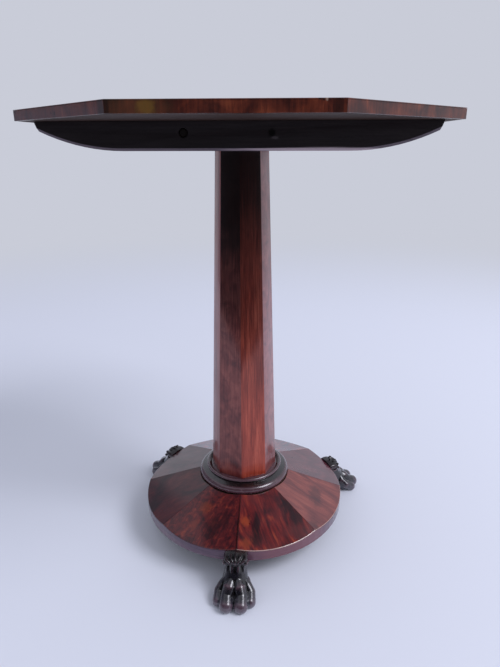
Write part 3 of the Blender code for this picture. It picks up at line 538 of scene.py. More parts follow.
# A band bent round the rim: plum-brown, tinted blue-grey as a painted reflection of the floor, and redder on the
# front right.
RIM_BAND = WoodFinish(
    "mahogany_band_bent_and_french_polished",
    # Blue-grey tint: a painted reflection of the floor.
    ("#2f2231", "#462f45", "#594054", "#6c505a"),
    figure_mm=12.0,
    turn=(0.0, QUARTER, 0.0),
    seed=61.0,
    polish=0.9,
    roughness=0.32,
    marks=(Mark((0.10, -0.16, 0.055), (0.09, 0.09, 0.2), "#7d4a50", 0.6, 0.5),),
)
# Carved, stained and waxed: black hollows, plum high places, grey knocks near the floor, and shade under the base
# painted dark near the top.
CARVED = CarvedFinish("mahogany_carved_stained_and_waxed", scuff_height=0.022, under_base_shade=(0.054, 0.064))
# Turned, stained and waxed: smooth rings, each with a soft shine on its round.
TURNED = CarvedFinish(
    "mahogany_turned_stained_and_waxed",
    hollow="#130a0c",
    plain="#351f25",
    proud="#563a42",
    roughness=0.2,
    tool_mm=9.0,
    relief_mm=0.03,
)
# Brass, cast and filed: a soft yellow gleam that browns in broad patches.
BRASS = MetalFinish("aged_brass_cast_and_filed", "#94743e", "#54442b", 0.32, 12.0, 0.6)
# Iron, forged and left bare: grey-brown, with hardly a gleam.
IRON = MetalFinish("dulled_iron_forged", "#6a6561", "#3a2f2a", 0.45, 3.0, 0.8)


def placed(name: str, data: ID) -> Object:
    """Puts an object into the scene.

    Args:
        name: The object's name.
        data: Its mesh, camera or lamp.

    Returns:
        The object.
    """
    thing = bpy.data.objects.new(name, data)
    bpy.context.scene.collection.objects.link(thing)
    return thing


def dress(node: str, material: Material) -> None:
    """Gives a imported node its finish.

    Args:
        node: The node's name.
        material: The finish.
    """
    slots = frame["nodes"][node].data.materials
    slots.clear()
    slots.append(material)
    LOG.info("%s dressed in %s", node, material.name)


def stand_in(node: str, mesh: Mesh, *materials: Material) -> None:
    """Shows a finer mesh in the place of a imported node. It moves with the node's body.

    Args:
        node: The node that it stands for.
        mesh: The finer mesh, in the table's coordinates.
        *materials: Its finishes, in the order of the faces' numbers.
    """
    piece = placed(node + "_finished", mesh)
    for material in materials:
        mesh.materials.append(material)
    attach(piece, frame["nodes"][node]["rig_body"])
    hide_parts(node)
    LOG.info("%s stands for %s with %d faces", piece.name, node, len(mesh.polygons))


def smoothed(mesh: Mesh, angle: float = ARRIS) -> Mesh:
    """Shades a mesh smooth except across its arrises.

    Args:
        mesh: The mesh.
        angle: Faces that meet at more have an arris between them.

    Returns:
        The same mesh.
    """
    mesh.shade_smooth()
    mesh.set_sharp_from_angle(angle=angle)
    return mesh


def meshed(bm: BMesh, name: str) -> Mesh:
    """Turns an edit mesh to a mesh that is smooth except across its arrises.

    Args:
        bm: The edit mesh, which is freed.
        name: The mesh's name.

    Returns:
        The mesh.
    """
    mesh = bpy.data.meshes.new(name)
    bm.to_mesh(mesh)
    bm.free()
    return smoothed(mesh)


def eased(node: str, width: float, takes: Callable[[BMEdge], bool] | None = None, steps: int = 2) -> Mesh:
    """Copies a node's solid and rounds its arrises, as sanding and handling do.

    Args:
        node: The node's name.
        width: Width of the rounding, in metres.
        takes: Tells which arrises are rounded, if it isn't all of them.
        steps: Faces across the rounding.

    Returns:
        The eased solid.
    """
    bm = bmesh.new()
    bm.from_mesh(frame["nodes"][node].data)
    bmesh.ops.remove_doubles(bm, verts=bm.verts, dist=WELD)
    bmesh.ops.dissolve_limit(bm, angle_limit=FLAT, verts=bm.verts, edges=bm.edges)
    sharp = [edge for edge in bm.edges if edge.is_manifold and edge.calc_face_angle() > ARRIS]
    if takes:
        sharp = [edge for edge in sharp if takes(edge)]
    bmesh.ops.bevel(
        bm, geom=sharp, offset=width, segments=steps, profile=0.5, affect="EDGES", clamp_overlap=True
    )
    bmesh.ops.recalc_face_normals(bm, faces=bm.faces)
    return meshed(bm, node + "_finished")


def baked(mesh: Mesh, *modifiers: tuple[str, dict]) -> Mesh:
    """Runs a mesh through modifiers.

    Args:
        mesh: The mesh to start from.
        *modifiers: Each modifier's kind and settings, in order.

    Returns:
        A new mesh with the result.
    """
    pattern = placed("pattern", mesh)
    for kind, settings in modifiers:
        modifier = pattern.modifiers.new(kind, kind)
        for name, value in settings.items():
            setattr(modifier, name, value)
    graph = bpy.context.evaluated_depsgraph_get()
    result = bpy.data.meshes.new_from_object(pattern.evaluated_get(graph))
    bpy.data.objects.remove(pattern)
    return result


def cut(mesh: Mesh, tool: Mesh) -> Mesh:
    """Cuts one solid out of another.

    Args:
        mesh: The solid that is cut.
        tool: The solid that is taken away, which is used up.

    Returns:
        A new mesh with what is left.
    """
    cutter = placed(tool.name, tool)
    left = baked(mesh, ("BOOLEAN", dict(operation="DIFFERENCE", object=cutter, solver="EXACT")))
    bpy.data.objects.remove(cutter)
    bpy.data.meshes.remove(tool)
    return left


@dataclass(frozen=True)
class SlottedScrew:
    """A round-headed wood screw with a slot filed across its head. Its sizes are shares of the head's width.

    Attributes:
        head: Height of the head.
        shank: Width of the shank.
        slot: Width of the slot.
        saw: Length of the saw that cuts the slot.
        sides: Fineness round the axis.
        dome_steps: Fineness of the head's round.
    """

    head: float = 0.30
    shank: float = 0.53
    slot: float = 0.16
    saw: float = 1.2
    sides: int = 24
    dome_steps: int = 7

    def build(self, node: str, point: Vector, turn: float, material: Material) -> None:
        """Builds and dresses one screw.

        Args:
            node: The node that it stands for.
            point: The way that its point faces.
            turn: Turn of its slot.
            material: Its finish.
        """
        low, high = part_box(node)
        width, _, length = sorted(high - low)
        rise, rod = self.head * width, self.shank * width / 2
        profile = [
            *((width / 2 * math.sin(t), rise * (1 - math.cos(t))) for t in spread(0, QUARTER, self.dome_steps)),
            (rod, rise),
            (rod, length - rod),
            (0.0, length),
        ]
        bm = bmesh.new()
        points = [bm.verts.new((r, 0.0, z)) for r, z in profile]
        edges = [bm.edges.new(pair) for pair in zip(points, points[1:])]
        whole = dict(axis=UP, cent=(0, 0, 0), angle=math.tau, steps=self.sides, use_merge=True)
        bmesh.ops.spin(bm, geom=[*points, *edges], **whole)
        bmesh.ops.remove_doubles(bm, verts=bm.verts, dist=WELD)
        bmesh.ops.recalc_face_normals(bm, faces=bm.faces)
        screw = meshed(bm, node + "_turned")
        bm = bmesh.new()
        blade = Matrix.Diagonal((width * self.saw, self.slot * width, rise, 1.0))
        bmesh.ops.create_cube(bm, size=1, matrix=Matrix.Rotation(turn, 4, "Z") @ blade)
        slotted = cut(screw, meshed(bm, "slot_saw"))
        slotted.materials.clear()
        smoothed(slotted)
        face = (low + high) / 2 - point * length / 2
        slotted.transform(Matrix.Translation(face) @ UP.rotation_difference(point).to_matrix().to_4x4())
        stand_in(node, slotted, material)


def facet_turn(facet: int) -> float:
    """Turn of a side of the octagon about the column, from the side that faces the front."""
    return math.tau * facet / SIDES


@dataclass
class TiltTop:
    """The octagonal top: ground board, show veneer with its cross-grained border, and eight edge bands.

    Attributes:
        half_width: Middle to each side.
        turn: How far the top sits askew on its bearers.
        ease: Rounding of the upper and lower arrises.
        ease_middle: Where the middle of the rounding lies, as a share of its width.
        border: Width of the cross-grained border of the show surface.
        side_length: An arris longer than this runs along a side.
        front_marks: Dulled wood with a yellowed patch, dark ends and chips at the upper arris, on the front band.
        left_marks: A grey painted sheen, two pin holes and a dark end, on the band to the left of the front.
    """

    half_width: float = 0.296
    turn: float = math.radians(0.95)
    ease: float = 0.0007
    ease_middle: float = 0.3
    border: float = 0.032
    side_length: float = 0.2
    front_marks: tuple[Mark, ...] = (
        Mark((-0.0850, -0.2973, 0.713), (0.050, 0.05, 0.030), "#43301f", 0.45, 0.4),
        Mark((-0.0745, -0.2973, 0.712), (0.012, 0.03, 0.011), "#7d5f1e", 0.35, 0.3),
        Mark((-0.1165, -0.2980, 0.712), (0.006, 0.02, 0.02), "#1c100d", 0.75),
        Mark((0.1195, -0.2940, 0.712), (0.006, 0.02, 0.02), "#2a100b", 0.7),
        Mark((0.1003, -0.2944, 0.7195), (0.0022, 0.01, 0.0014), "#1a0f0c", 0.9),
        Mark((0.1071, -0.2943, 0.7188), (0.0016, 0.01, 0.0022), "#a39180", 0.65),
        Mark((0.1040, -0.2943, 0.7185), (0.0016, 0.01, 0.0020), "#23130e", 0.9),
    )
    left_marks: tuple[Mark, ...] = (
        # A grey sheen painted over the band.
        Mark((-0.2100, -0.2100, 0.7040), (0.3, 0.3, 0.016), "#5a4a50", 0.22),
        Mark((-0.2024, -0.2160, 0.7109), (0.0020, 0.0020, 0.0026), "#0c0808", 0.95),
        Mark((-0.2092, -0.2094, 0.7116), (0.0017, 0.0017, 0.0022), "#0c0808", 0.85),
        Mark((-0.1225, -0.2933, 0.712), (0.009, 0.009, 0.03), "#1d1717", 0.75),
    )

    def band_finish(self, facet: int) -> Material:
        """Makes the cross-grained finish of one side.

        Args:
            facet: Number of the side, from the front.

        Returns:
            The material.
        """
        return WoodFinish(
            f"crossbanded_mahogany_french_polished_{facet + 1}",
            CROSSBAND,
            Figure.MOTTLED,
            figure_mm=26.0,
            grain_mm=2.6,
            turn=(0.0, 0.0, -facet_turn(facet) - self.turn),
            seed=3.1 + facet,
            figure_share=0.66,
            polish=0.8,
            marks={0: self.front_marks, SIDES - 1: self.left_marks}.get(facet, ()),
        ).build()

    def show_surface(self, bands: list[Material]) -> None:
        """Lays the show veneer: a figured field in a border that is cut across the grain.

        Args:
            bands: The border's finishes, side by side.
        """
        low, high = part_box("top_veneer")
        half, middle = self.half_width, self.ease * self.ease_middle
        field_finish = WoodFinish(
            "figured_mahogany_french_polished",
            MAHOGANY,
            Figure.FLAME,
            figure_mm=60.0,
            turn=(0.0, 0.0, QUARTER - self.turn),
            seed=11.0,
            polish=0.9,
        ).build()
        rings = (
            (half, low.z),
            (half, high.z - self.ease),
            (half - middle, high.z - middle),
            (half - self.ease, high.z),
            (half - self.border, high.z),
        )
        corner = 1 / math.cos(math.pi / SIDES)
        turns = [self.turn + math.pi / SIDES * (2 * at - 1) - QUARTER for at in range(SIDES)]
        ways = [(corner * math.cos(turn), corner * math.sin(turn)) for turn in turns]
        bm = bmesh.new()
        loops = [[bm.verts.new((reach * x, reach * y, z)) for x, y in ways] for reach, z in rings]
        for inner, outer in zip(loops[1:], loops):
            for at in range(SIDES):
                after = (at + 1) % SIDES
                face = bm.faces.new((outer[at], outer[after], inner[after], inner[at]))
                face.material_index = 1 + at
        bm.faces.new(loops[-1])
        bm.faces.new(reversed(loops[0]))
        bmesh.ops.recalc_face_normals(bm, faces=bm.faces)
        stand_in("top_veneer", meshed(bm, "top_veneer_finished"), field_finish, *bands)

    def build(self) -> None:
        """Builds and dresses the top."""
        bands = [self.band_finish(facet) for facet in range(SIDES)]
        self.show_surface(bands)
        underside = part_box("edge_band_1")[0].z + WELD

        def lower(edge: BMEdge) -> bool:
            """Takes the long arris at the underside."""
            return all(v.co.z < underside for v in edge.verts) and edge.calc_length() > self.side_length

        for number, material in enumerate(bands, 1):
            node = f"edge_band_{number}"
            stand_in(node, eased(node, self.ease, lower), material)
        dress("top_ground", GROUND_PINE.build())


@dataclass
class BearerPair:
    """The two long rails under the top and the screws that hold them.

    Attributes:
        ease: Rounding of the arrises.
        slant: How far down and sideways a face looks if it is a lower chamfer.
        slot_turn: Turn of each screw's slot from the one before.
        marks: A knot in the front rail with a knock beside it, and a pale painted highlight along its chamfer,
            stronger on the right.
    """

    ease: float = 0.0007
    slant: float = 0.3
    slot_turn: float = 1.1
    marks: tuple[Mark, ...] = (
        Mark((0.049, -0.1185, 0.690), (0.006, 0.02, 0.007), "#050404", 0.9),
        Mark((0.053, -0.1185, 0.6845), (0.006, 0.02, 0.0025), "#4a4446", 0.6),
        # A pale painted highlight on the front chamfer, stronger on the right.
        Mark((0.115, -0.1175, 0.6690), (0.14, 0.01, 0.004), "#c6b3ba", 0.55, 0.8),
    )

    def chamfer_reflection(self, mesh: Mesh) -> None:
        """Marks the lower chamfers for a pale painted reflection of the floor.

        Args:
            mesh: The rail's mesh, which gets an attribute that marks the painted light.
        """
        painted_light = mesh.attributes.new("painted_light", "FLOAT", "FACE")
        for face in mesh.polygons:
            slanted = face.normal.z < -self.slant and abs(face.normal.y) > self.slant
            painted_light.data[face.index].value = float(slanted)

    def build(self) -> None:
        """Builds and dresses the rails."""
        stained = WoodFinish(
            "beech_planed_and_stained_black",
            STAINED,
            figure_mm=25.0,
            turn=(0.0, QUARTER, 0.0),
            seed=7.0,
            roughness=0.42,
            polish=0.1,
            polish_roughness=0.25,
            # A pale painted reflection of the floor on the lower chamfers.
            painted_light_colour="#564c54",
            marks=self.marks,
        ).build()
        for node in ("bearer_front", "bearer_rear"):
            mesh = eased(node, self.ease)
            self.chamfer_reflection(mesh)
            stand_in(node, mesh, stained)
        iron = IRON.build()
        for number in range(1, 9):
            SlottedScrew().build(f"bearer_screw_{number}", UP, self.slot_turn * number, iron)


@dataclass
class PivotBlock:
    """The block on the column's head with its pivot pins, and the keeper plate for the bolt.

    Attributes:
        ease: Rounding of the block's arrises.
        plate_ease: Rounding of the plate's arrises.
        slot_turn: Turn of each screw's slot from the one before.
    """

    ease: float = 0.0010
    plate_ease: float = 0.0003
    slot_turn: float = 0.7

    def build(self) -> None:
        """Builds and dresses the block."""
        stained = WoodFinish(
            "beech_block_stained_black",
            STAINED,
            figure_mm=25.0,
            turn=(QUARTER, 0.0, 0.0),
            seed=9.0,
            roughness=0.5,
            polish=0.05,
        ).build()
        oak, brass = PIN_OAK.build(), BRASS.build()
        stand_in("column_block", eased("column_block", self.ease), stained)
        for node in ("pivot_pin_front", "pivot_pin_rear"):
            dress(node, oak)
        stand_in("keeper_plate", eased("keeper_plate", self.plate_ease), brass)
        for number in (1, 2):
            SlottedScrew().build(
                f"keeper_screw_{number}", Vector((-1, 0, 0)), self.slot_turn * number, brass
            )


@dataclass
class OctagonColumn:
    """The tapered column: eight veneered faces with softly rubbed ridges, the front and back faces painted near
    black at their upper ends as shade under the top.

    Attributes:
        ease: Rounding of the ridges.
        ease_steps: Faces across the rounding.
        ridge_length: An arris longer than this is a ridge.
        painted_shade: Painted shade under the top, by face: height down to which the face is painted nearly
            black, and length of the fade below it.
        painted_shade_tones: Hex colours of that painted shade and the share of the fade that each takes.
        painted_shade_strength: How much of the wood the painted shade covers.
        painted_shade_middle: Middle of the painted shade over its lower edge, as a share of the fade.
        painted_shade_frayed: How far the grain frays the painted shade's edge.
        mottled: Shades of the mottled faces.
        straight: Shades of the straight-grained faces.
        bleached: Shades of the faces that the light has bleached.
        hazy: Bleached faces whose polish has gone hazy. It is thick there, and thin on the others.
    """

    ease: float = 0.0007
    ease_steps: int = 3
    ridge_length: float = 0.3
    # Painted shade: the top's shadow on the column, painted near black on the upper ends of the front and back
    # faces.
    painted_shade: dict[int, Pair] = field(
        default_factory=lambda: {0: (0.67, 1.0), 3: (0.61, 0.45), 4: (0.61, 0.60), 7: (0.572, 0.55)}
    )
    painted_shade_tones: tuple[tuple[str, float], ...] = (("#1c0908", 1.0), ("#0c0506", 0.3))
    painted_shade_strength: float = 0.85
    painted_shade_middle: float = 0.45
    painted_shade_frayed: float = 0.3
    mottled: Shades = ("#40191c", "#632929", "#7e3f3a", "#905149")
    straight: Shades = ("#5e1c13", "#863022", "#a44633", "#b85f4a")
    bleached: Shades = ("#4e1f20", "#703434", "#8a4845", "#9e5b57")
    hazy: tuple[int, ...] = (1, 2)

    def painted_shade_marks(self, black: float, reach: float) -> tuple[Mark, ...]:
        """Paints the shade under the top on one face.

        Args:
            black: Height down to which the face is painted nearly black, as shade under the top.
            reach: Length of the fade below it.

        Returns:
            The painted shade as marks.
        """
        marks = []
        for colour, share in self.painted_shade_tones:
            down = share * reach
            middle = (0.0, 0.0, black + self.painted_shade_middle * down)
            marks.append(Mark(middle, (1.0, 1.0, down), colour, self.painted_shade_strength, self.painted_shade_frayed))
        return tuple(marks)

    def face_finish(self, facet: int) -> Material:
        """Makes the finish of one face: mottled to the left of the front ridge, straight-grained to the right.

        Args:
            facet: Number of the face, from the one right of the front ridge.

        Returns:
            The material.
        """
        mottled = facet % 2 == 1
        painted_shade, hazy = facet in self.painted_shade, facet in self.hazy
        shades = (self.mottled if mottled else self.straight) if painted_shade else self.bleached
        return WoodFinish(
            f"mahogany_veneer_french_polished_{facet + 1}",
            shades,
            Figure.MOTTLED if mottled else Figure.STRAIGHT,
            figure_mm=18.0 if mottled else 9.0,
            grain_mm=1.8,
            turn=(0.0, 0.0, -facet_turn(facet) - math.pi / SIDES),
            seed=21.0 + facet,
            polish=0.9 if painted_shade or hazy else 0.5,
            specular=HAZY if hazy else BARE,
            roughness=0.34,
            marks=self.painted_shade_marks(*self.painted_shade[facet]) if painted_shade else (),
        ).build()

    def build(self) -> None:
        """Builds and dresses the column."""
        mesh = eased("column", self.ease, lambda edge: edge.calc_length() > self.ridge_length, self.ease_steps)
        for face in mesh.polygons:
            turn = math.atan2(face.center.x, -face.center.y) % math.tau
            face.material_index = int(turn / facet_turn(1)) % SIDES
        stand_in("column", mesh, *(self.face_finish(facet) for facet in range(SIDES)))
        oak = WEDGE_OAK.build()
        for node in ("column_wedge_upper", "column_wedge_lower"):
            dress(node, oak)


def relieved(mesh: Mesh, passes: int, depth: float) -> None:
    """Stores how far each point stands out of its surroundings, in an attribute named proud.

    Args:
        mesh: The mesh that gets the attribute.
        passes: How many edges away the surroundings reach.
        depth: How far out counts as one, in metres.
    """
    count = len(mesh.vertices)
    places, normals = np.empty(count * 3), np.empty(count * 3)
    mesh.vertices.foreach_get("co", places)
    mesh.vertices.foreach_get("normal", normals)
    places, normals = places.reshape(-1, 3), normals.reshape(-1, 3)
    ends = np.empty(len(mesh.edges) * 2, dtype=np.int32)
    mesh.edges.foreach_get("vertices", ends)
    one, other = ends.reshape(-1, 2).T
    degree = np.bincount(ends, minlength=count)[:, None]
    around = places.copy()
    for _ in range(passes):
        total = np.zeros_like(around)
        np.add.at(total, one, around[other])
        np.add.at(total, other, around[one])
        around = total / degree
    proud = ((places - around) * normals).sum(axis=1) / depth
    mesh.attributes.new("proud", "FLOAT", "POINT").data.foreach_set("value", proud.astype(np.float32))


@dataclass
class TurnedCollar:
    """The turned collar: a bead, a quirk and a broad torus.

    Attributes:
        bead: Section radius of the upper bead.
        bead_arc: Start and end of its round.
        bead_steps: Fineness of its round.
        bead_land: Width of the bead's top that shows inside.
        step: Torus out past the bead.
        torus: Section radius of the torus.
        torus_arc: Start and end of its round.
        torus_steps: Fineness of its round.
        seat_depth: Seat of the column below the bead.
        lap: How far the collar runs in under the column's ridges.
        sides: Fineness round the column.
        relief_passes: How many edges away the surroundings of a point reach.
        relief_depth: Depth of the dirt's hollows.
    """

    bead: float = 0.0030
    bead_arc: Pair = (math.radians(140), math.radians(-50))
    bead_steps: int = 16
    bead_land: float = 0.0088
    step: float = 0.0130
    torus: float = 0.0075
    torus_arc: Pair = (math.radians(85), math.radians(-60))
    torus_steps: int = 24
    seat_depth: float = 0.0045
    lap: float = 0.02
    sides: int = 144
    relief_passes: int = 6
    relief_depth: float = 0.0006

    def profile(self) -> list[Pair]:
        """Draws the collar's section.

        Returns:
            Radius and height of each point, from the seat outwards and down.
        """
        low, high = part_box("collar")
        bead_x, bead_z = high.x - self.step - self.bead, high.z - self.bead
        torus_x, torus_z = high.x - self.torus, low.z + self.torus
        beaded = spread(*self.bead_arc, self.bead_steps)
        rounded = spread(*self.torus_arc, self.torus_steps)
        return [
            (bead_x + self.bead - self.bead_land, high.z - self.seat_depth),
            *((bead_x + self.bead * math.cos(t), bead_z + self.bead * math.sin(t)) for t in beaded),
            (bead_x + self.bead / 2, bead_z - self.bead),
            *((torus_x + self.torus * math.cos(t), torus_z + self.torus * math.sin(t)) for t in rounded),
            (torus_x, low.z),
        ]

    def build(self) -> None:
        """Builds and dresses the collar."""
        ridges = max(Vector(v.co.xy).length for v in frame["nodes"]["column"].data.vertices)
        inner, points = ridges - self.lap, self.profile()
        section = [(inner, points[0][1]), *points, (inner, points[-1][1])]
        bm = bmesh.new()
        rings = []
        for at in range(self.sides):
            turn = math.tau * at / self.sides
            rings.append([bm.verts.new((r * math.cos(turn), r * math.sin(turn), z)) for r, z in section])
        for at, ring in enumerate(rings):
            after = rings[(at + 1) % self.sides]
            for low in range(len(section)):
                high = (low + 1) % len(section)
                bm.faces.new((ring[low], after[low], after[high], ring[high]))
        bmesh.ops.recalc_face_normals(bm, faces=bm.faces)
        mesh = meshed(bm, "collar_finished")
        relieved(mesh, self.relief_passes, self.relief_depth)
        stand_in("collar", mesh, TURNED.build())


@dataclass(frozen=True)
class Leaf:
    """How one veneer of the base was cut.

    Attributes:
        figure: The way its figure runs.
        figure_mm: Width of its clouds or plumes.
        figure_share: How much the figure counts against the streaks.
        shades: Hex colours from the darkest streak to the palest.
        marks: Its dark plumes and orange patches.
    """

    figure: Figure
    figure_mm: float
    figure_share: float
    shades: Shades
    marks: tuple[Mark, ...] = ()


FRONT_SEAM = Mark((0.0, -0.140, 0.075), (0.0022, 0.09, 0.06), "#14070a", 0.7, 0.4)
FRONT_RIGHT = Leaf(
    Figure.FLAME,
    30.0,
    0.8,
    DEEP_RED,
    (
        FRONT_SEAM,
        Mark((0.0300, -0.1330, 0.077), (0.009, 0.032, 0.04), "#1a0a12", 0.85, 1.2),
        Mark((0.0320, -0.1600, 0.068), (0.013, 0.014, 0.03), "#240d13", 0.6, 1.2),
        Mark((0.0115, -0.1310, 0.080), (0.010, 0.011, 0.03), "#9c4526", 0.6, 1.2),
        Mark((0.0150, -0.1690, 0.066), (0.011, 0.012, 0.03), "#8e3c22", 0.55, 1.2),
        Mark((0.0800, -0.0900, 0.084), (0.016, 0.016, 0.03), "#1c0c13", 0.8, 1.2),
        Mark((0.0980, -0.1100, 0.075), (0.014, 0.014, 0.03), "#220f16", 0.75, 1.2),
        Mark((0.0980, -0.1370, 0.066), (0.022, 0.015, 0.03), "#5a2a2b", 0.5, 1.2),
    ),
)
RIGHT = Leaf(
    Figure.FLAME,
    34.0,
    0.75,
    ("#4c2026", "#6a2f2f", "#833f39", "#985247"),
    (
        Mark((0.1330, -0.0453, 0.075), (0.014, 0.032, 0.03), "#3c1a22", 0.6, 1.2),
        Mark((0.1249, -0.1175, 0.068), (0.013, 0.011, 0.03), "#3a1820", 0.6, 1.2),
    ),
)
FRONT_LEFT = Leaf(
    Figure.MOTTLED,
    9.0,
    0.72,
    ("#240d13", "#3e141a", "#5a1d1e", "#7c3426"),
    (
        FRONT_SEAM,
        Mark((-0.0392, -0.1381, 0.074), (0.013, 0.022, 0.03), "#240d13", 0.65, 1.2),
        Mark((-0.0222, -0.1274, 0.080), (0.010, 0.020, 0.03), "#260d13", 0.55, 1.2),
        Mark((-0.0466, -0.1518, 0.069), (0.013, 0.012, 0.03), "#240d13", 0.6, 1.2),
        Mark((-0.0598, -0.1018, 0.083), (0.016, 0.014, 0.03), "#80381f", 0.4, 1.4),
        Mark((-0.0763, -0.1328, 0.071), (0.012, 0.012, 0.03), "#7a3122", 0.4, 1.4),
    ),
)


@dataclass
class FacetedBase:
    """The round base: eight sloping veneers, a band round the rim and a pine core.

    Attributes:
        ease: Rounding of the upper edge at the rim.
        rim_share: An arris further out than this share of the radius lies at the rim.
        facing_up: How far up the two faces of the rim's upper arris look between them.
        highlight_reach: Width of the painted highlight, as a multiple of the edge's rounding.
        rubbed: Veneers whose rounded outer edge is painted pale as a highlight.
        hazy: Veneers whose old polish has gone hazy.
        leaves: Each veneer's cut, from the one right of the front seam.
    """

    ease: float = 0.0009
    rim_share: float = 0.993
    facing_up: float = 0.5
    highlight_reach: float = 1.1
    rubbed: tuple[int, ...] = (0, 1)
    hazy: tuple[int, ...] = (0, 1, 2)
    leaves: tuple[Leaf, ...] = (
        FRONT_RIGHT,
        RIGHT,
        Leaf(Figure.MOTTLED, 30.0, 0.7, ("#42202c", "#522734", "#62303b", "#733c43")),
        Leaf(Figure.FLAME, 26.0, 0.8, DEEP_RED),
        Leaf(Figure.MOTTLED, 12.0, 0.65, DEEP_RED),
        Leaf(Figure.MOTTLED, 30.0, 0.7, ("#331a20", "#412027", "#50282e", "#603236")),
        Leaf(Figure.MOTTLED, 34.0, 0.75, ("#180a10", "#2e0f16", "#45171c", "#602824")),
        FRONT_LEFT,
    )

    def veneer_finish(self, facet: int) -> Material:
        """Makes the finish of one sloping veneer.

        Args:
            facet: Number of the veneer, from the one right of the front seam.

        Returns:
            The material.
        """
        leaf = self.leaves[facet]
        return WoodFinish(
            f"flame_mahogany_veneer_french_polished_{facet + 1}",
            leaf.shades,
            leaf.figure,
            figure_mm=leaf.figure_mm,
            grain_mm=2.4,
            turn=(0.0, 0.0, -facet_turn(facet) - math.pi / SIDES),
            seed=41.0 + 1.7 * facet,
            figure_share=leaf.figure_share,
            polish=0.9,
            specular=HAZY if facet in self.hazy else BARE,
            roughness=0.32,
            # A pale painted highlight on the rim's rounded edge, on the veneers towards the lamp.
            painted_light_colour="#a98a80" if facet in self.rubbed else "",
            marks=leaf.marks,
        ).build()

    def rim_highlight(self, mesh: Mesh) -> None:
        """Marks the rounded upper edge of the rim for its painted highlight.

        Args:
            mesh: A veneer's mesh, which gets an attribute that marks the painted light.
        """
        reaches = [Vector(v.co.xy).length for v in mesh.vertices]
        rim = max(reaches) - self.ease * self.highlight_reach
        painted_light = mesh.attributes.new("painted_light", "FLOAT", "FACE")
        for face in mesh.polygons:
            painted_light.data[face.index].value = float(all(reaches[v] > rim for v in face.vertices))

    def build(self) -> None:
        """Builds and dresses the base."""
        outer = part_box("base_rim_band")[1].x * self.rim_share

        def upper(edge: BMEdge) -> bool:
            """Takes the upper arris at the rim."""
            rise = sum(face.normal.z for face in edge.link_faces)
            return all(v.co.xy.length > outer for v in edge.verts) and rise > self.facing_up

        for facet in range(SIDES):
            node = f"base_veneer_{facet + 1}"
            mesh = eased(node, self.ease, upper)
            self.rim_highlight(mesh)
            stand_in(node, mesh, self.veneer_finish(facet))
        dress("base_rim_band", RIM_BAND.build())
        dress("base_core", CORE_PINE.build())


def even(radius: float) -> Vector:
    """Radii of a ball."""
    return Vector((radius, radius, radius))


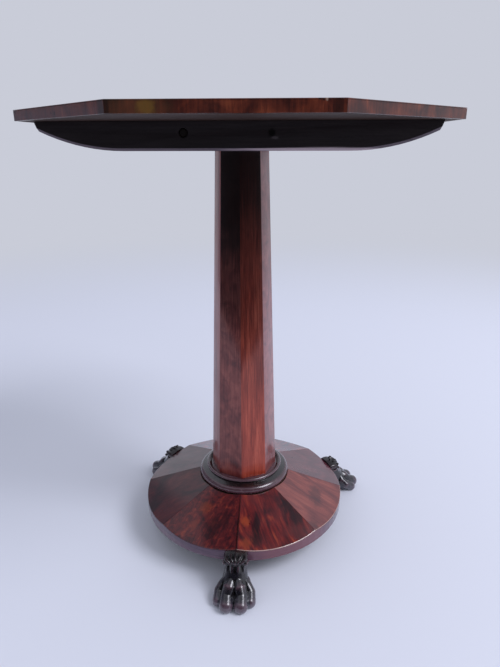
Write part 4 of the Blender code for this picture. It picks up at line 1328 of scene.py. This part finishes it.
@dataclass
class PawFeet:
    """Three carved paw feet on dowels. The sizes are those of the solids, and the carving is finer.

    Reaches and places called out are measured from the rim of the base.
    """

    turns: dict[str, float] = field(  # about the column, from the front
        default_factory=lambda: {"front": 0.0, "right": math.radians(117.5), "left": -math.radians(126.0)}
    )
    rim: float = 0.182  # radius of the base
    underside: float = 0.043  # of the base, over the floor
    reach: float = 0.0692  # to the tips of the middle toes
    width: float = 0.068  # over the outer toes
    toe_pitch: float = 0.0226  # between the two middle toes
    outer_toe_setback: float = 0.0130
    outer_toe_shrink: float = 0.0018
    toe_tip: float = 0.0112  # radii along a toe
    toe_waist: float = 0.0100
    knuckle: float = 0.0100
    toe_waist_back: float = 0.0122  # behind the middle of the tip
    knuckle_back: float = 0.0198
    toe_tip_sink: float = 0.0022  # how much of the round tip the floor takes off
    toe_waist_height: float = 0.0162
    knuckle_height: float = 0.0245
    knuckle_spread: float = 0.0095  # how far the toes draw together at the knuckles
    tendon: float = 0.0040  # radius
    tendon_rise: float = 0.0006  # how far the middle tendons stand out past the instep
    outer_tendon_back: float = 0.0048  # how far the outer ones lie behind it, round the ankle
    tendon_spread: float = 0.36  # of the middle tendons, as a share of the toes'
    pad_out: float = 0.017
    pad: Triple = (0.025, 0.026, 0.0125)  # radii
    instep_reach: float = 0.0248  # to the front of the tendons under the cuff
    bend_out: float = 0.0295  # to the tendons where they start to spread
    bend_height: float = 0.0355
    ankle_out: float = 0.0066
    ankle_width: float = 0.0310
    ankle_depth: float = 0.0345
    forefoot_out: float = 0.0370  # to the middle of the mass under the toes
    forefoot_width: float = 0.052
    forefoot_depth: float = 0.038
    forefoot_height: float = 0.0215
    forefoot_sink: float = 0.0070  # how much of it the floor takes off
    cuff_rise: float = 0.0225  # top of the leaf cuff over the underside of the base
    cuff_height: float = 0.0155
    cuff_width: float = 0.0420
    cuff_reach: float = 0.0270
    cuff_set: float = 0.0070  # to the middle of the roll
    cuff_round: float = 0.006  # of its two ends
    cuff_droop: float = 0.76  # thickness of the roll at its ends, as a share of its middle
    ring_reach: float = 0.0225  # to the front of the ring under the cuff
    ring: float = 0.0017  # section radius
    ring_sweep: float = math.radians(86)  # to each side of the front
    ring_steps: int = 49
    leaf_count: int = 7
    leaf_root: float = 0.0014  # radii along a leaf
    leaf_tip: float = 0.0027
    leaf_relief: float = 0.0032  # how far the leaves stand out of the roll
    leaf_arc: Pair = (math.radians(-50), math.radians(80))  # from under the roll to its top
    leaf_spread: float = math.radians(78)  # of the outermost leaves, to each side of upright
    leaf_steps: int = 24
    heel_depth: float = 0.042
    heel_width: float = 0.040
    heel_lift: float = 0.009  # over the floor
    notch_height: float = 0.1  # of the cut that makes room for the base
    notch_sides: int = 160
    clearance: float = 0.0003  # between the paw and the base
    ball_fineness: int = 3
    ball_pitch: int = 3  # balls along a limb, to each radius of its length
    grain: float = 0.0007  # fineness of the carving
    softness: float = 0.5  # how far each smoothing pass goes
    smoothing: int = 2  # passes
    kept: float = 0.30  # share of the carved surface's faces that is kept
    crease: float = math.radians(50)  # faces that meet at more have an edge between them
    relief_passes: int = 14  # how many edges away the surroundings of a point reach
    relief_depth: float = 0.0009  # depth of the dirt's hollows

    def ball(self, bm: BMesh, centre: Vector, radii: Vector) -> None:
        """Adds an ellipsoid.

        Args:
            bm: The rough paw.
            centre: Its middle.
            radii: Its three radii.
        """
        place = Matrix.Translation(centre) @ Matrix.Diagonal((*radii, 1))
        bmesh.ops.create_icosphere(bm, subdivisions=self.ball_fineness, radius=1, matrix=place)

    def limb(self, bm: BMesh, start: Vector, end: Vector, first: Vector, last: Vector) -> None:
        """Adds a rounded limb that tapers from one ellipsoid to another.

        Args:
            bm: The rough paw.
            start: Middle of the first ellipsoid.
            end: Middle of the last.
            first: Radii of the first.
            last: Radii of the last.
        """
        count = 2 + int(self.ball_pitch * (end - start).length / min(*first, *last))
        for share in spread(0, 1, count):
            self.ball(bm, start.lerp(end, share), first.lerp(last, share))

    def toe(self, bm: BMesh, side: int, outer: bool, cuff_foot: float) -> None:
        """Adds a toe and its tendon.

        Args:
            bm: The rough paw.
            side: -1 for the left, 1 for the right.
            outer: Whether it is the shorter outer toe of that side.
            cuff_foot: Height of the cuff's lower side.
        """
        less, back = (self.outer_toe_shrink, self.outer_toe_setback) if outer else (0, 0)
        tip_radius = self.toe_tip - less
        across = self.width / 2 - tip_radius if outer else self.toe_pitch / 2
        out = self.rim + self.reach - tip_radius - back
        drawn_in = across - self.knuckle_spread * across / (self.width / 2)
        tip = Vector((side * across, -out, tip_radius - self.toe_tip_sink))
        waist = Vector((side * across, self.toe_waist_back - out, self.toe_waist_height - less))
        knuckle = Vector((side * drawn_in, self.knuckle_back - out, self.knuckle_height - less))
        slim, full, tendon = even(self.toe_waist - less), even(self.knuckle - less), even(self.tendon)
        self.limb(bm, tip, waist, even(tip_radius), slim)
        self.limb(bm, waist, knuckle, slim, full)
        root_x = side * (self.ankle_width / 2 - self.tendon if outer else across * self.tendon_spread)
        set_back = self.outer_tendon_back if outer else -self.tendon_rise
        root = Vector((root_x, self.tendon + set_back - self.rim - self.instep_reach, cuff_foot))
        bend = Vector((root_x, set_back - self.rim - self.bend_out, self.bend_height))
        self.limb(bm, root, bend, tendon, tendon)
        self.limb(bm, bend, knuckle, tendon, full)

    def cuff(self, bm: BMesh, cuff_foot: float) -> None:
        """Adds the leaf cuff: a domed roll, leaves fanned over it, and a ring under it.

        Args:
            bm: The rough paw.
            cuff_foot: Height of the cuff's lower side.
        """
        depth = self.cuff_reach - self.cuff_set - self.leaf_relief
        dome = Vector((self.cuff_round, depth, self.cuff_height / 2))
        centre = Vector((0, -self.rim - self.cuff_set, cuff_foot + self.cuff_height / 2))
        for side in (-1, 1):
            end = centre + Vector((side * (self.cuff_width / 2 - self.cuff_round), 0, 0))
            self.limb(bm, centre, end, dome, dome * self.cuff_droop)
        half_fan = self.cuff_width / 2 - self.leaf_tip
        low, high = self.leaf_arc
        for fan in spread(-self.leaf_spread, self.leaf_spread, self.leaf_count):
            for share in spread(0, 1, self.leaf_steps):
                turn = low + (high - low) * share * math.cos(fan)
                across = share * math.sin(fan)
                here = dome * (1 + (self.cuff_droop - 1) * abs(across))
                here = Vector((across * half_fan, -here.y * math.cos(turn), here.z * math.sin(turn)))
                self.ball(bm, centre + here, even(self.leaf_root + (self.leaf_tip - self.leaf_root) * share))
        for turn in spread(-self.ring_sweep, self.ring_sweep, self.ring_steps):
            x = (self.cuff_width / 2 - self.ring) * math.sin(turn)
            y = (self.ring_reach - self.ring) * math.sqrt(math.cos(turn))
            self.ball(bm, Vector((x, -self.rim - y, cuff_foot)), even(self.ring))

    def rough(self) -> Mesh:
        """Roughs out the front paw from round masses.

        Returns:
            Overlapping shells, which the carving fuses.
        """
        cuff_foot = self.underside + self.cuff_rise - self.cuff_height
        ankle = Vector((0, -self.rim - self.ankle_out, cuff_foot))
        ankle_radii = Vector((self.ankle_width, self.ankle_depth, self.cuff_height)) / 2
        middle = (self.forefoot_height - self.forefoot_sink) / 2
        forefoot = Vector((0, -self.rim - self.forefoot_out, middle))
        full_height = self.forefoot_height + self.forefoot_sink
        forefoot_radii = Vector((self.forefoot_width, self.forefoot_depth, full_height)) / 2
        heel = Vector((0, self.heel_depth / 2 - self.rim, self.underside))
        heel_radii = Vector((self.heel_width / 2, self.heel_depth / 2, self.underside - self.heel_lift))
        bm = bmesh.new()
        self.limb(bm, ankle, forefoot, ankle_radii, forefoot_radii)
        self.ball(bm, Vector((0, -self.rim - self.pad_out, self.pad[2])), Vector(self.pad))
        self.ball(bm, heel, heel_radii)
        for side in (-1, 1):
            for outer in (False, True):
                self.toe(bm, side, outer, cuff_foot)
        self.cuff(bm, cuff_foot)
        return meshed(bm, "paw_rough")

    def cutters(self) -> list[Mesh]:
        """Makes the floor and the base as solids that the paw is cut with.

        Returns:
            The two solids.
        """
        floor, base = bmesh.new(), bmesh.new()
        bmesh.ops.create_cube(floor, size=1, matrix=Matrix.Translation((0, 0, -0.5)))
        reach, depth = self.rim + self.clearance, self.notch_height + self.clearance
        round_bar = dict(cap_ends=True, segments=self.notch_sides, radius1=reach, radius2=reach, depth=depth)
        middle = Matrix.Translation((0, 0, self.underside + self.notch_height / 2))
        bmesh.ops.create_cone(base, matrix=middle, **round_bar)
        return [meshed(floor, "floor_cutter"), meshed(base, "base_cutter")]

    def carved(self) -> Mesh:
        """Carves the front paw.

        Returns:
            The paw, cut off at the floor and notched for the base.
        """
        paw = baked(
            self.rough(),
            ("REMESH", dict(mode="VOXEL", voxel_size=self.grain)),
            ("SMOOTH", dict(factor=self.softness, iterations=self.smoothing)),
            ("DECIMATE", dict(ratio=self.kept)),
        )
        for tool in self.cutters():
            paw = cut(paw, tool)
        return paw

    def build(self) -> None:
        """Builds and dresses the feet and their dowels."""
        finish, oak = CARVED.build(), DOWEL_OAK.build()
        paw = self.carved()
        for name, turn in self.turns.items():
            mesh = paw.copy()
            mesh.transform(Matrix.Rotation(turn, 4, "Z"))
            mesh.materials.clear()
            smoothed(mesh, self.crease)
            relieved(mesh, self.relief_passes, self.relief_depth)
            stand_in(f"paw_foot_{name}", mesh, finish)
            dress(f"foot_dowel_{name}", oak)


@dataclass
class BoltCatch:
    """The brass catch under the top, with its sliding bolt and screws.

    Attributes:
        ease: Rounding of the filed arrises.
        slot_turn: Turn of each screw's slot from the one before.
    """

    ease: float = 0.0004
    slot_turn: float = 0.9

    def build(self) -> None:
        """Builds and dresses the catch."""
        brass = BRASS.build()
        for node in ("catch_case", "catch_bolt"):
            stand_in(node, eased(node, self.ease), brass)
        for number in range(1, 5):
            SlottedScrew().build(f"catch_screw_{number}", UP, self.slot_turn * number, brass)


@dataclass(frozen=True)
class Flag:
    """A standing cloth that keeps haze off polished wood. Only reflections show it.

    Attributes:
        start: One end of its foot on the floor.
        end: The other end.
        height: How far up it reaches.
        colour: Its colour as hex.
    """

    start: Pair
    end: Pair
    height: float
    colour: str

    def build(self, name: str) -> None:
        """Stands the cloth.

        Args:
            name: The cloth's name.
        """
        feet, heads = ([(*end, height) for end in (self.start, self.end)] for height in (0.0, self.height))
        mesh = bpy.data.meshes.new(name)
        mesh.from_pydata([*feet, *reversed(heads)], [], [(0, 1, 2, 3)])
        cloth = placed(name, mesh)
        # Woven velvet: one flat tone with no shine.
        material, tree, shader = started("velvet_" + name)
        fill(tree, shader, {"Base Color": linear(self.colour), "Roughness": 1.0})
        mesh.materials.append(material)
        cloth.visible_camera = cloth.visible_diffuse = cloth.visible_shadow = False


@dataclass
class Studio:
    """A pale floor, soft light from above on the right, and the camera.

    Attributes:
        eye: Place of the camera.
        heading: Camera's turn to the left of straight ahead.
        pitch: How far the camera looks down.
        roll: Camera's roll.
        focal_pixels: Focal length in pixels of the picture.
        picture_height: Pixels of the picture from top to bottom.
        sensor_height: In millimetres.
        backdrop: Hex colour of the room.
        floor_colour: Hex colour of the floor.
        floor_size: Half the floor's side.
        fade: Where the floor starts and ends its turn into the backdrop, from the column.
        flags: Standing cloths in front and to the left.
        lamp_place: Where the soft lamp hangs.
        lamp_aim: The point that it faces.
        lamp_size: Its side.
        lamp_power: In watts.
        lamp_colour: Its colour as hex.
    """

    eye: Triple = (0.0659, -0.8789, 0.6769)
    heading: float = math.radians(3.52)
    pitch: float = math.radians(19.36)
    roll: float = math.radians(-0.15)
    focal_pixels: float = 539.8
    picture_height: int = 667
    sensor_height: float = 36.0
    backdrop: str = "#c9ccd8"
    floor_colour: str = "#dde0ea"
    floor_size: float = 16.0
    fade: Pair = (1.2, 3.5)
    flags: tuple[Flag, ...] = (
        Flag((1.15, -0.84), (-1.5, -0.84), 0.95, "#0b0b0d"),
        Flag((-1.5, -0.84), (-1.45, 1.5), 1.6, "#7a7a83"),
    )
    lamp_place: Triple = (4.0, -1.6, 4.64)
    lamp_aim: Triple = (0.0, 0.0, 0.20)
    lamp_size: float = 2.72
    lamp_power: float = 232.0
    lamp_colour: str = "#f3f4ff"

    def camera(self) -> None:
        """Sets up the camera."""
        right = Vector((math.cos(self.heading), math.sin(self.heading), 0.0))
        level = UP.cross(right) * math.cos(self.pitch)
        ahead = level - UP * math.sin(self.pitch)
        axes = Matrix((right, right.cross(ahead), -ahead)).transposed().to_4x4()
        data = bpy.data.cameras.new("camera")
        data.sensor_fit = "VERTICAL"
        data.sensor_height = self.sensor_height
        data.lens = self.focal_pixels / self.picture_height * self.sensor_height
        camera = placed("camera", data)
        camera.matrix_world = Matrix.Translation(self.eye) @ axes @ Matrix.Rotation(self.roll, 4, "Z")
        bpy.context.scene.camera = camera

    def floor(self) -> None:
        """Lays a plain pale floor that runs out into the backdrop without a line."""
        bm = bmesh.new()
        bmesh.ops.create_grid(bm, x_segments=8, y_segments=8, size=self.floor_size)
        floor = placed("floor", meshed(bm, "floor"))
        # A pressed cotton sheet: pale and quite without shine.
        material, tree, shader = started("cotton_sheet_pale")
        fill(tree, shader, {"Base Color": linear(self.floor_colour), "Roughness": 0.9})
        place = add(tree, "TexCoord", out="Object")
        away = add(tree, "VectorMath", {0: place}, "Value", operation="LENGTH")
        levels = {0: away, 1: self.fade[0], 2: self.fade[1]}
        far = add(tree, "MapRange", levels, interpolation_type="SMOOTHSTEP")
        distant = add(tree, "Emission", {"Color": linear(self.backdrop), "Strength": 1.0})
        mixed = add(tree, "MixShader", {0: far, 1: shader.outputs[0], 2: distant})
        fill(tree, tree.nodes["Material Output"], {"Surface": mixed})
        floor.data.materials.append(material)

    def lamp(self) -> None:
        """Hangs a square soft lamp."""
        data = bpy.data.lights.new("window", "AREA")
        data.size = self.lamp_size
        data.energy = self.lamp_power
        data.color = linear(self.lamp_colour)[:3]
        lamp = placed("window", data)
        lamp.location = self.lamp_place
        way = Vector(self.lamp_aim) - lamp.location
        lamp.rotation_euler = way.to_track_quat("-Z", "Y").to_euler()

    def world(self) -> None:
        """Fills the room with even soft light of the backdrop's colour."""
        world = bpy.data.worlds.new("studio")
        bpy.context.scene.world = world
        world.use_nodes = True
        tree = world.node_tree
        fill(tree, tree.nodes["Background"], {"Color": linear(self.backdrop), "Strength": 1.0})

    def build(self) -> None:
        """Sets up the studio."""
        self.camera()
        self.floor()
        for number, flag in enumerate(self.flags, 1):
            flag.build(f"flag_{number}")
        self.world()
        self.lamp()
        bpy.context.scene.view_settings.view_transform = "Standard"


def main() -> None:
    """Builds the table's assemblies and the studio in order."""
    logging.basicConfig(level=logging.INFO, format="%(message)s")
    for assembly in (
        TiltTop(),
        BearerPair(),
        PivotBlock(),
        OctagonColumn(),
        TurnedCollar(),
        FacetedBase(),
        PawFeet(),
        BoltCatch(),
        Studio(),
    ):
        LOG.info("building %s", type(assembly).__name__)
        assembly.build()


if __name__ == "__main__":
    main()
